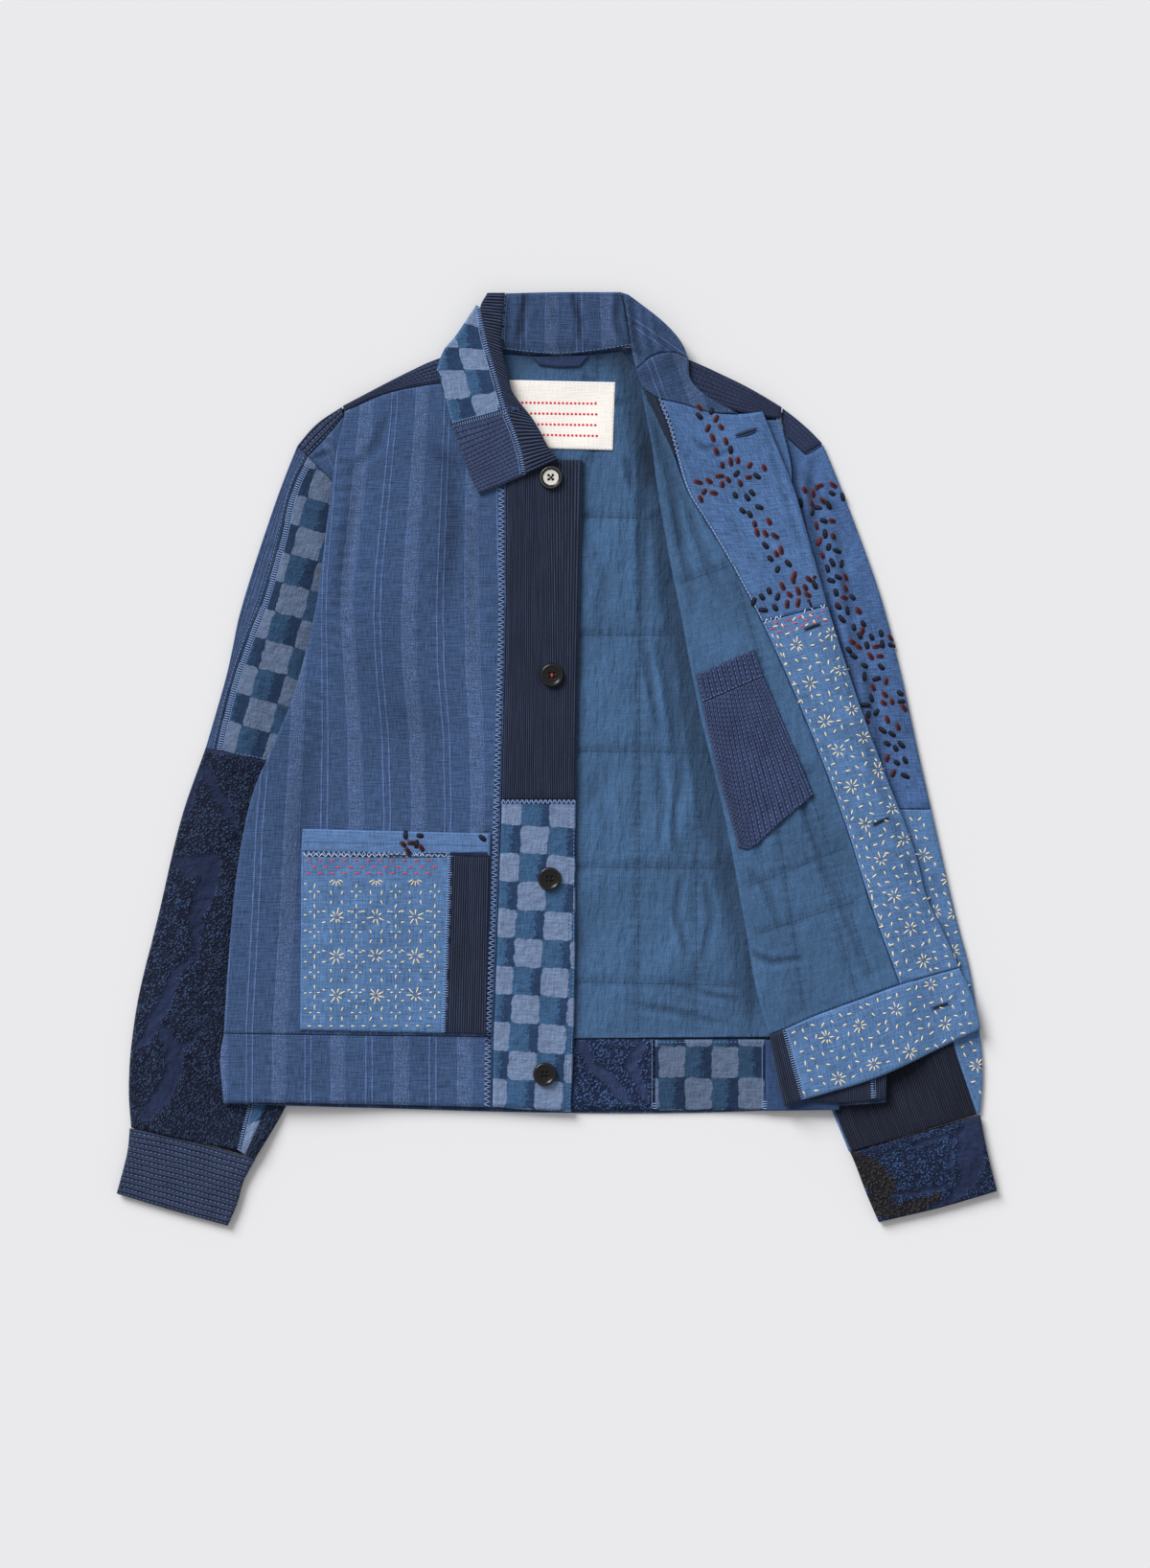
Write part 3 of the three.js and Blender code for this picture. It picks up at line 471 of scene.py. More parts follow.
BROWN = {  # where the pile is brown
    "cuff_left_top": (
        [(248, -332, 10), (260, -344, 22), (272, -356, 24), (270, -374, 16), (285, -378, 13), (304, -373, 11),
         (318, -366, 8)],
    ),
}


def banded(p, chart, seed):
    """1 inside bands along lines of (x, y, width), 0 outside them. Their edges wander and are notched like
    leaves."""
    away = np.full(p.x.shape, np.inf)
    for line in chart:
        for (ax, ay, a_wide), (bx, by, b_wide) in zip(line[:-1], line[1:]):
            dx, dy = bx - ax, by - ay
            w = np.clip(((p.x - ax) * dx + (p.y - ay) * dy) / (dx**2 + dy**2), 0, 1)
            off = np.hypot(p.x - ax - w * dx, p.y - ay - w * dy)
            away = np.minimum(away, off - (a_wide + w * (b_wide - a_wide)) / 2)
    notch = 1.6 * np.abs(np.sin((p.x + 2 * p.y) / 6.5)) - 0.8
    return np.clip(0.5 - (away + notch + swell(p, 18, 1.0, seed)) / 1.4, 0, 1)


def loops(p, seed):
    """Loops of yarn about 2 mm apart: a product of two turned waves, uneven in place."""
    wander = swell(p, 14, 1.2, seed)
    one = np.sin(2 * np.pi * (p.u + wander) / 2.6) * np.sin(2 * np.pi * (p.v - wander) / 2.9)
    two = np.sin(2 * np.pi * (p.u * 0.8 + p.v * 0.6 + wander) / 2.3)
    return 0.28 * one + 0.16 * two


print(sum(len(chart) for chart in VINES.values()), "vines in", len(VINES), "looped pieces")

# %% Quilting
def quilted(p, lines, depth):
    """A net of troughs along stitched lines, with small gathers on them."""
    total = np.zeros(p.x.shape)
    for number, line in enumerate(lines):
        away, _, _ = to_path(p, line)
        total -= depth * np.exp(-((away / 3.6) ** 2)) + 0.35 * depth * np.exp(-away / 14)
        total += gathers(p, line, 7, 7, 0.5, number + 1)
    return total


LINING_QUILT = [
    *([(14, y), (150, y + lift)] for y, lift in ((203, -3), (104, 0), (7, -2), (-90, -1), (-186, -3))),
    *([(x, 240), (x - 2, -232)] for x in (70, 118, 164)),
    [(35, 340), (30, 250)],
]
FLAP_QUILT = [
    [(103, 147), (146, 162)],
    [(143, 53), (150, 55)],
    [(160, -106), (240, -74)],
    [(168, -145), (250, -118)],
    [(150, -30), (215, -10)],
    [(180, -25), (206, -208)],
    [(146, 165), (250, -195)],
    [(200, 5), (262, -180)],
]
FOLD_LINE = [
    (62, 320), (78, 262), (91, 190), (104, 122), (112, 70), (124, 12), (136, -38), (153, -126), (170, -216),
]


def beside(line, shift):
    """The same line, moved east by the shift."""
    return [(x + shift, y) for x, y in line]


print(len(LINING_QUILT) + len(FLAP_QUILT), "lines of quilting")

# %% Relief, piece by piece
def creases(p, width, depth, *paths):
    """Several creases of one width and depth."""
    return sum(crease(p, path, width, depth) for path in paths)


RELIEF = {
    "front_right": (
        (swell, 110, 0.35, 4),
        (crease, [(-178, 232), (-150, 262), (-140, 290)], 7, 0.8),
        (crease, [(-165, 240), (-176, 180), (-180, 120)], 9, 0.9),
        (trough, [(-90, 262), (-84, 190), (-90, 120)], 8, 0.9),
        (crease, [(-64, 215), (-72, 150), (-66, 60)], 8, 0.6),
        (trough, [(-196, 60), (-214, -60), (-230, -180)], 10, 0.7),
        (trough, [(-150, 40), (-110, 30), (-70, 36)], 14, 0.35),
        (gathers, [(-180, 285), (-178, 120), (-215, 0)], 11, 14, 0.45, 2),
        (gathers, [(-54, 230), (-50, 0), (-54, -230)], 13, 9, 0.35, 3),
        (gathers, [(-278, -230), (-53, -232)], 12, 9, 0.35, 5),
    ),
    "back_lining": (
        (quilted, LINING_QUILT, 0.8),
        (swell, 70, 0.5, 9),
        (trough, beside(FOLD_LINE, -5), 11, 1.1),
        (crease, [(73, 262), (72, 180), (74, 106)], 6, 1.5),
        (crease, [(58, 252), (62, 235), (64, 222)], 5, 1.2),
        (crease, [(72, 104), (79, 60), (86, 22)], 5, 1.5),
        (crease, [(88, 100), (94, 60), (102, 10), (104, -40)], 7, 1.5),
        (crease, [(106, 70), (112, 20), (122, -30), (126, -70)], 6, 1.4),
        (crease, [(100, -30), (98, -60), (104, -88)], 5, 1.4),
        (crease, [(104, -94), (100, -130), (112, -168)], 5, 1.3),
        (crease, [(122, -96), (130, -130), (122, -170)], 5, 1.3),
        (crease, [(84, 2), (90, -40), (84, -80)], 5, 1.0),
        (crease, [(96, -188), (126, -197), (152, -202)], 4, 1.1),
        (crease, [(60, -205), (100, -212), (140, -222)], 5, 0.9),
        (crease, [(24, 190), (40, 150), (36, 108)], 8, 0.6),
        (crease, [(30, -20), (44, -60), (40, -88)], 8, 0.5),
        (crease, [(22, 322), (40, 300), (60, 296)], 5, 0.9),
    ),
    "front_left_lining": (
        (quilted, FLAP_QUILT, 0.7),
        (swell, 90, 0.5, 12),
        (crease, [(78, 292), (96, 230), (104, 180), (116, 120)], 6, 1.2),
        (crease, [(92, 270), (112, 200), (140, 130)], 6, 0.9),
        (crease, [(156, -160), (180, -170), (206, -166)], 5, 1.2),
        (crease, [(160, -92), (176, -110), (190, -150)], 5, 0.9),
        (crease, [(186, 10), (214, -60), (262, -190)], 5, 1.2),
        (crease, [(150, -20), (166, -60), (172, -90)], 6, 0.8),
    ),
    "back": ((sunken, 1.7),),
    "front_left": ((sunken, 1.7),),
    "hem_band_right": ((swell, 70, 0.3, 6), (gathers, [(-278, -288), (-54, -291)], 15, 8, 0.4, 6)),
    "yoke_right": ((swell, 40, 0.3, 7), (ribbed, "v", 0.14, 4.4)),
    "yoke_left": ((swell, 40, 0.3, 8), (ribbed, "v", 0.14, 4.4)),
    "facing_plain": (
        (creases, 4, 0.8, [(112, 268), (124, 258), (140, 262)], [(118, 262), (130, 252), (150, 258)],
         [(172, 286), (190, 220), (214, 150)], [(178, 290), (206, 200), (226, 130)]),
        (swell, 50, 0.4, 10),
    ),
    "facing_star": ((swell, 34, 0.35, 11), (trough, [(228, 120), (270, -20), (322, -160)], 5, 0.8)),
    "hem_facing_star": ((swell, 34, 0.35, 13),),
    "pocket_star": ((swell, 22, 0.3, 14),),
    "pocket_band": ((swell, 30, 0.2, 15),),
    "sleeve_left_plain": (
        (swell, 60, 0.4, 16),
        (creases, 6, 1.1, [(196, 262), (204, 190), (220, 120)], [(214, 250), (214, 200), (228, 130)],
         [(224, 140), (244, 60), (262, -20)], [(234, 190), (246, 120), (250, 60)],
         [(250, 110), (262, 60), (272, 0)], [(204, 240), (220, 214), (240, 206)]),
    ),
    "sleeve_left_star": ((swell, 30, 0.35, 17),),
    "sleeve_right_checked": ((swell, 46, 0.3, 18), (gathers, [(-184, 230), (-190, 60)], 20, 14, 0.6, 4)),
    "sleeve_right_strip": ((swell, 46, 0.3, 19), (gathers, [(-230, 200), (-290, 8)], 9, 6, 0.3, 7)),
    "sleeve_right_wedge": (
        (creases, 4, 0.9, [(-206, 250), (-190, 256), (-180, 240)], [(-196, 270), (-186, 262), (-180, 250)]),
    ),
    "collar_back": (
        (swell, 40, 0.3, 20),
        (creases, 4.5, 1.3, [(-26, 390), (-29, 364), (-31, 348)], [(14, 390), (20, 366), (19, 348)],
         [(52, 390), (50, 366), (56, 346)]),
        (gathers, [(-46, 343), (62, 345)], 11, 8, 0.5, 8),
    ),
    "collar_left": (
        (swell, 40, 0.4, 21),
        (creases, 4, 1.1, [(62, 384), (66, 350), (72, 326)], [(80, 376), (84, 352), (96, 334)],
         [(72, 380), (76, 356), (84, 330)]),
    ),
    "collar_left_fold": ((swell, 40, 0.4, 22),),
    "collar_right_checked": ((swell, 40, 0.25, 23),),
    "collar_right_dark": ((swell, 30, 0.2, 24),),
    "placket_checked": ((swell, 40, 0.25, 25),),
    "inner_pocket": ((ribbed, "u", 0.18), (swell, 40, 0.3, 26)),
    "inner_pocket_band": ((ribbed, "u", 0.18), (swell, 40, 0.2, 27)),
    "cuff_right_top": ((ribbed, "v", 0.16), (swell, 30, 0.25, 28)),
    "placket_corduroy": ((wales,), (swell, 60, 0.25, 29)),
    "pocket_corduroy": ((wales,), (swell, 50, 0.2, 30)),
    "sleeve_left_corduroy": (
        (wales,),
        (swell, 60, 0.5, 31),
        (crease, [(270, -60), (276, -150), (300, -250)], 8, 0.9),
    ),
    "collar_right_corduroy": ((wales, "v", 2.8, 0.6), (swell, 40, 0.2, 32)),
    "facing_neck": ((wales,),),
    "hem_facing_corduroy": ((wales,), (swell, 30, 0.2, 33)),
    "hem_band_left": ((wales,), (swell, 30, 0.2, 34)),
}
LOOPED = ("sleeve_right_looped", "sleeve_right_inner", "back_hem_looped", "cuff_left_top")


def looped_relief(p, seed):
    """Loops on the pile, which stands 0.9 mm over the smooth vines, and a swell under both."""
    p.pile = 1 - banded(p, VINES.get(p.node, ()), seed)
    p.brown = banded(p, BROWN.get(p.node, ()), seed)
    return p.pile * (0.9 + 1.6 * loops(p, seed)) + swell(p, 60, 0.6, seed)


# %% Painted shade in sheltered places
PAINTED_SHADE_LINES = {  # lines with their width and how much painted shade they lay into the cloth's colour
    "back_lining": (
        (beside(FOLD_LINE, -4), 15, 0.9),
        ([(-50, 341), (66, 341)], 17, 1.3),
        ([(56, 334), (74, 296), (84, 240)], 16, 1.0),
        ([(24, 250), (20, 70), (18, -230)], 4, 0.7),
    ),
    "front_left_lining": (([(74, 304), (84, 250), (100, 190)], 13, 0.9),),
    "collar_back": (
        ([(-25, 390), (-30, 366), (-33, 346)], 6, 1.1),
        ([(-44, 344), (62, 345)], 4, 0.8),
        ([(14, 390), (20, 350)], 4, 0.8),
        ([(-6, 390), (-2, 352)], 3, 0.5),
        ([(56, 390), (60, 346)], 5, 0.9),
    ),
    "collar_left": (
        ([(64, 388), (64, 350), (76, 322)], 5, 1.0),
        ([(86, 372), (92, 346), (104, 330)], 5, 0.8),
        ([(74, 350), (84, 330)], 4, 0.7),
        ([(70, 384), (98, 362)], 3, 0.5),
    ),
    "collar_right_corduroy": (([(-62, 386), (-66, 350), (-50, 318)], 5, 0.6),),
    "collar_left_fold": (([(78, 320), (104, 334)], 5, 0.7),),
    "sleeve_right_checked": (([(-178, 262), (-188, 240), (-194, 180), (-203, 118), (-225, 38)], 9, 1.0),),
    "sleeve_right_looped": (([(-240, 0), (-254, -23), (-268, -87), (-277, -182), (-280, -290)], 9, 0.8),),
    "sleeve_left_plain": (
        ([(192, 268), (200, 200), (214, 150), (240, 80), (262, 30), (280, -30)], 6, 0.8),
        ([(214, 262), (206, 190), (226, 110)], 4, 0.6),
    ),
    "sleeve_left_corduroy": (([(236, -286), (300, -262), (340, -236)], 9, 0.8),),
    "front_right": (
        ([(-100, 270), (-92, 200), (-100, 130)], 9, 0.4),
        ([(-120, 262), (-60, 238)], 7, 0.5),
    ),
    "facing_plain": (([(96, 286), (104, 262), (128, 200)], 3, 0.4),),
    "placket_corduroy": (([(-50, 262), (20, 262)], 7, 0.6),),
}
ROOM_BELOW = {"back_lining": 1.5, "front_left_lining": 1.5}
for node, p in panels.items():
    if node in LOOPED:
        relief = looped_relief(p, LOOPED.index(node) + 5)
    else:
        terms = RELIEF.get(node, ((swell, 60, 0.25, len(node)),))
        relief = sum(kind(p, *numbers) for kind, *numbers in terms)
    p.raise_by(relief, ROOM_BELOW.get(node, 0))
    # painted shade along lines where a fold, the collar or a higher piece shades the cloth
    for line, width, amount in PAINTED_SHADE_LINES.get(node, ()):
        p.deep += amount * np.exp(-((to_path(p, line)[0] / width) ** 2))
print(len(RELIEF) + len(LOOPED), "pieces have creases of their own")

# %% [markdown]
# ## Writing a finish as sums
# A finish is a little program made of nodes. One small class holds a node's output and turns Python's
# operators into Math nodes, so that a pattern reads like a formula. Everything else, such as a noise or a
# bump, comes from one method that sets a node up.

# %% Values and finishes
class Value:
    """A number or colour that changes over a surface: the output of a node, with arithmetic."""

    def __init__(self, finish, socket):
        self.finish, self.socket = finish, socket

    def math(self, operation, *others):
        return self.finish.node("Math", {"operation": operation}, dict(enumerate((self, *others))))

    def __add__(self, other):
        return self.math("ADD", other)

    def __sub__(self, other):
        return self.math("SUBTRACT", other)

    def __rsub__(self, other):
        return self.finish.node("Math", {"operation": "SUBTRACT"}, {0: other, 1: self})

    def __mul__(self, other):
        return self.math("MULTIPLY", other)

    def __truediv__(self, other):
        return self.math("DIVIDE", other)

    __radd__, __rmul__ = __add__, __mul__

    def part(self):
        """What is left after the whole number."""
        return self.math("FRACT")

    def whole(self):
        return self.math("FLOOR")

    def size(self):
        """Its distance from 0."""
        return self.math("ABSOLUTE")

    def most(self, other):
        return self.math("MAXIMUM", other)

    def step(self, low, high):
        """Rises smoothly from 0 at low to 1 at high, or falls from 1 to 0 if low is the greater."""
        if low > high:
            return 1 - self.step(high, low)
        ends = {"Value": self, "From Min": low, "From Max": high}
        return self.finish.node("MapRange", {"interpolation_type": "SMOOTHSTEP"}, ends)

    def bump(self, middle, half, soft):
        """1 within half of the middle, falling to 0 over soft."""
        return (self - middle).size().step(half + soft, half)


VALLEY_SHADE = 0.28  # how much darker painted shade makes the deepest valley


class Finish:
    """A material under construction. u and v are the cloth's own coordinates in millimetres. The
    painted shade of valleys and sheltered places is read where a finish asks for it."""

    deep = None

    def __init__(self, name):
        self.material = bpy.data.materials.new(name)
        self.material.use_nodes = True
        self.tree = self.material.node_tree
        self.tree.nodes.clear()

    def node(self, kind, settings=None, sockets=None, output=0):
        """One node of a kind: its settings first, then a number, colour or Value for each named socket."""
        made = self.tree.nodes.new("ShaderNode" + kind)
        for key, value in (settings or {}).items():
            setattr(made, key, value)
        for key, value in (sockets or {}).items():
            if isinstance(value, Value):
                self.tree.links.new(value.socket, made.inputs[key])
            else:
                made.inputs[key].default_value = value
        return Value(self, made.outputs[output]) if made.outputs else None

    def attribute(self, name):
        """A number that the mesh holds for each of its points."""
        return self.node("Attribute", {"attribute_name": name}, None, 2)

    def cloth(self):
        """The panel's u and v, in millimetres. Its painted shade is read too: darker in valleys and sheltered
        places, lighter on ridges."""
        self.deep = self.attribute("deep")
        own = self.node("UVMap", {"uv_map": "cloth"})
        split = self.node("SeparateXYZ", None, {0: own}).socket.node
        return Value(self, split.outputs[0]) * 1000, Value(self, split.outputs[1]) * 1000

    def noise(self, x, y, detail=2.0, roughness=0.5):
        """Soft noise from 0 to 1 over two coordinates."""
        place = self.node("CombineXYZ", None, {0: x, 1: y})
        sockets = {"Vector": place, "Scale": 1, "Detail": detail, "Roughness": roughness}
        return self.node("TexNoise", None, sockets)

    def mix(self, factor, first, second, blend="MIX"):
        settings = {"data_type": "RGBA", "blend_type": blend, "clamp_factor": True}
        return self.node("Mix", settings, {0: factor, 6: first, 7: second}, 2)

    def shade(self, colour, amount):
        """A colour made lighter or darker by a factor that changes over the surface."""
        grey = self.node("CombineColor", None, {0: amount, 1: amount, 2: amount})
        return self.mix(1.0, colour, grey, "MULTIPLY")

    def done(self, colour, height=None, roughness=0.9, depth=0.3, sheen=0.0, specular=0.2):
        """Closes the finish: a cloth surface of a colour, with height as a bump of so many millimetres."""
        # painted shade: valleys and sheltered places darker, ridges lighter
        if self.deep:
            colour = self.shade(colour, 1 - VALLEY_SHADE * self.deep)
        sockets = {"Base Color": colour, "Roughness": roughness, "Specular IOR Level": specular}
        if sheen:
            sockets.update({"Sheen Weight": sheen, "Sheen Roughness": 0.4})
        if height is not None:
            bumps = {"Strength": 1.0, "Distance": depth * MM, "Height": height}
            sockets["Normal"] = self.node("Bump", None, bumps)
        surface = self.node("BsdfPrincipled", None, sockets)
        self.node("OutputMaterial", None, {"Surface": surface})
        return self.material


def rgb(red, green, blue):
    """A screen colour of 0 to 255 as the linear light that shaders use."""
    return (*(((c / 255 + 0.055) / 1.055) ** 2.4 if c > 10 else c / 3295 for c in (red, green, blue)), 1.0)


print("finishes are written as formulas of u and v")

# %% [markdown]
# ## The cloths
# All of it is cotton. The ground cloth is heathered: its yarns are unevenly dyed, so that fine streaks run
# both ways. Stripes are thicker slub yarns in bands. The dark cloth is covered in rows of kantha, a plain
# running stitch, which pulls it into fine ridges.

# %% Yarn and heather
SOFT_SHEEN = 0.05  # washed cotton


def heather(f, u, v, coarse=1.0):
    """Uneven yarn: fine streaks along the warp and along the weft, as a change of shade round 0, and the same
    as a height."""
    warp = f.noise(u * (0.95 / coarse), v * 0.09)
    weft = f.noise(u * 0.07, v * (0.85 / coarse))
    fleck = f.noise(u * 0.9, v * 0.9, 3.0, 0.7)
    return (warp + weft + fleck - 1.5) * 1.5, warp + weft

# %% Stripes
def striped_cloth(name, tone=1.0, repeat=STRIPES_APART, wide=5.2, thin=2.6):
    """Wide stripes of slubby light yarn with a fine line down each edge, and a pair of thin ones between."""
    f = Finish(name)
    u, v = f.cloth()
    across = ((u / repeat + 0.5).part() - 0.5) * repeat
    off_middle = across.size()
    band = off_middle.step(wide + 0.5, wide - 0.5)
    hem = off_middle.bump(wide + 0.4, 0.35, 0.4)
    pair = (repeat / 2 - off_middle).bump(thin, 0.35, 0.6)
    grain, yarn = heather(f, u, v)
    slub = f.noise(u * 1.3, v * 1.1, 3.0, 0.9).step(0.4, 0.56)
    light = band * (0.3 + 0.7 * slub)
    cloud = f.noise(u * 0.02, v * 0.02, 2.0)
    fleck = f.noise(u * 0.55, v * 1.9, 3.0, 0.7).step(0.55, 0.64)
    ground = f.mix(fleck * 0.4, rgb(58, 81, 119), rgb(80, 88, 108))
    colour = f.mix(light, ground, rgb(108, 138, 192))
    colour = f.mix((pair * 0.6).most(hem * 0.4), colour, rgb(98, 124, 178))
    colour = f.shade(colour, tone * (1.05 + 0.85 * grain + 0.25 * (cloud - 0.5)))
    return f.done(colour, yarn * 1.5 + band * slub * 1.5 + pair, depth=0.5, sheen=SOFT_SHEEN)

# %% Plain cloth
def plain_cloth(name, ground, flecked=0.8, cloudy=0.25):
    """Heathered ground cloth with a slow cloud of lighter and darker dye over it."""
    f = Finish(name)
    u, v = f.cloth()
    grain, yarn = heather(f, u, v)
    cloud = f.noise(u * 0.025, v * 0.025, 2.0)
    colour = f.shade(ground, 1 + flecked * grain + cloudy * (cloud - 0.5))
    return f.done(colour, yarn, depth=0.25, sheen=SOFT_SHEEN)

# %% Corduroy
def corduroy(name, ground, pitch=WALE, down=False, bold=0.75):
    """Cut pile in wales: painted highlight on the tops, painted shade in the valleys, where the darker
    ground weave also shows.
    """
    f = Finish(name)
    u, v = f.cloth()
    across, along = (v, u) if down else (u, v)
    top = ((across / pitch).part() - 0.5).size().step(0.12, 0.46)
    fluff = f.noise(across * 1.2, along * 0.4, 3.0, 0.7)
    rub = f.noise(across * 0.7, along * 0.02, 2.0, 0.7).step(0.42, 0.62)
    dust = f.noise(across * 0.5 + 9, along * 0.5, 3.0, 0.8).step(0.66, 0.74)
    # painted highlight on the wale tops and painted shade in the valleys; the rubbed tops and the dust are
    # the cloth's own
    colour = f.shade(ground, 1.1 - bold * (1 - top) + 0.9 * (fluff - 0.5) + 0.75 * rub * top + 0.5 * dust)
    return f.done(colour, fluff, depth=0.2, sheen=0.12)

# %% Rows of kantha
def kantha_cloth(name, ground, along_u=True, pitch=4.6, bold=1.0):
    """Rows of running stitch: the row's number is the whole part of v over the pitch, and the dashes are in
    the fraction of u."""
    f = Finish(name)
    u, v = f.cloth()
    if not along_u:
        u, v = v, u
    wave = f.noise(u * 0.05, v * 0.05, 1.0) * 1.4
    row = (v + wave) / pitch
    start = (row.whole() * 0.37).part()
    dash = (u / 3.9 + start + f.noise(u * 0.1, v * 0.3) * 0.7).part()
    thread = dash.bump(0.5, 0.28, 0.08) * row.part().bump(0.5, 0.09, 0.08)
    # The stitches pull each row into a furrow, and painted shade darkens the furrow beside the thread.
    shaded_furrow = row.part().bump(0.5, 0.1, 0.36)
    grain, yarn = heather(f, u, v)
    colour = f.mix(thread * (0.62 * bold), ground, rgb(96, 110, 146))
    colour = f.shade(colour, 1.06 + 0.7 * grain - 0.5 * bold * shaded_furrow * (1 - thread))
    return f.done(colour, thread * 0.8 - shaded_furrow * 1.6 + yarn * 0.3, depth=0.9 * bold, sheen=0.06)

# %% The lining
def lining_cloth():
    """Thin smooth cotton, with small wrinkles that run down it."""
    f = Finish("lining_cotton")
    u, v = f.cloth()
    grain, yarn = heather(f, u, v, 0.8)
    cloud = f.noise(u * 0.03, v * 0.012, 2.0)
    colour = f.shade(rgb(63, 95, 132), 1 + 0.5 * grain + 0.3 * (cloud - 0.5))
    wrinkle = f.noise(u * 0.11, v * 0.035, 3.0, 0.6)
    return f.done(colour, wrinkle * 9 + yarn * 0.5, depth=0.4, specular=0.3)

# %% Printed checks
def checked_cloth(name, width=23.4, height=23.6, fill=1.0, dark=0.35, tone=1.0):
    """Hand-printed checks. The middle of a light block is the cloth's origin. Light blocks, round at the
    corners and wobbly, fill every second cell. The cells between them are teal with a darker, ragged smear
    over one side."""
    f = Finish(name)
    u, v = f.cloth()
    wobble_u = f.noise(u * 0.12, v * 0.12, 2.0) - 0.5
    wobble_v = f.noise(u * 0.11 + 40, v * 0.13, 2.0) - 0.5
    column = u / width + 0.5 + 0.2 * wobble_u
    line = v / height + 0.5 + 0.2 * wobble_v
    odd = ((column.whole() + line.whole()) * 0.5).part().step(0.2, 0.3)
    a = (column.part() - 0.5).size() * 2
    b = (line.part() - 0.5).size() * 2
    a, b = a * a * a, b * b * b
    ragged = f.noise(u * 0.4, v * 0.4, 3.0, 0.6) - 0.5
    block = (a * a + b * b + 0.5 * ragged).step(1.22 * fill, 1.1 * fill) * (1 - odd)
    smear = odd * (column.part() + ragged * 0.7 + 0.25 * wobble_v).step(1.0 - dark, 1.08 - dark)
    grain, yarn = heather(f, u, v, 1.2)
    patchy = f.noise(u * 0.16, v * 0.16, 3.0, 0.6) - 0.5
    colour = f.mix(smear * 0.85, rgb(62, 98, 138), rgb(38, 60, 96))
    colour = f.mix(((1 - odd) - block).most(0.0) * 0.5, colour, rgb(40, 64, 100))
    colour = f.mix(block, colour, rgb(124, 144, 180))
    colour = f.shade(colour, tone * (1 + 0.55 * grain + 0.6 * patchy))
    return f.done(colour, yarn + patchy * 4, depth=0.4, sheen=SOFT_SHEEN)

# %% Looped pile
def looped_cloth(name, dark, glint, vine):
    """Pile of small loops: dark between the loops and a painted glint, a highlight, on each; brown in places;
    smooth on the vines, where painted light and shade follow soft folds.
    """
    f = Finish(name)
    u, v = f.cloth()
    pile, brown = f.attribute("pile"), f.attribute("brown")
    place = f.node("CombineXYZ", None, {0: u, 1: v})
    cell = f.node("TexVoronoi", None, {"Vector": place, "Scale": 0.46, "Randomness": 1.0})
    # painted highlight: each loop lighter towards its glint, over the dark yarn
    loop = cell.step(0.68, 0.1)
    light = f.noise(u * 0.12, v * 0.12, 3.0, 0.7).step(0.3, 0.62)
    blue = f.mix(loop * (0.25 + 0.75 * light), dark, glint)
    tan = f.mix(loop * 0.8, rgb(24, 24, 30), rgb(74, 69, 70))
    looped = f.mix(brown, blue, tan)
    grain, yarn = heather(f, u, v)
    # painted light and shade: the smooth vines lighter where their soft folds rise, darker where they sink
    fold = f.noise(u * 0.1, v * 0.1, 2.0) - 0.5
    smooth = f.shade(vine, 1 + 0.5 * grain + 0.5 * fold)
    colour = f.mix(pile, smooth, looped)
    return f.done(colour, pile * loop * 3 + yarn * 0.5 + fold * 4, depth=0.7, sheen=SOFT_SHEEN)


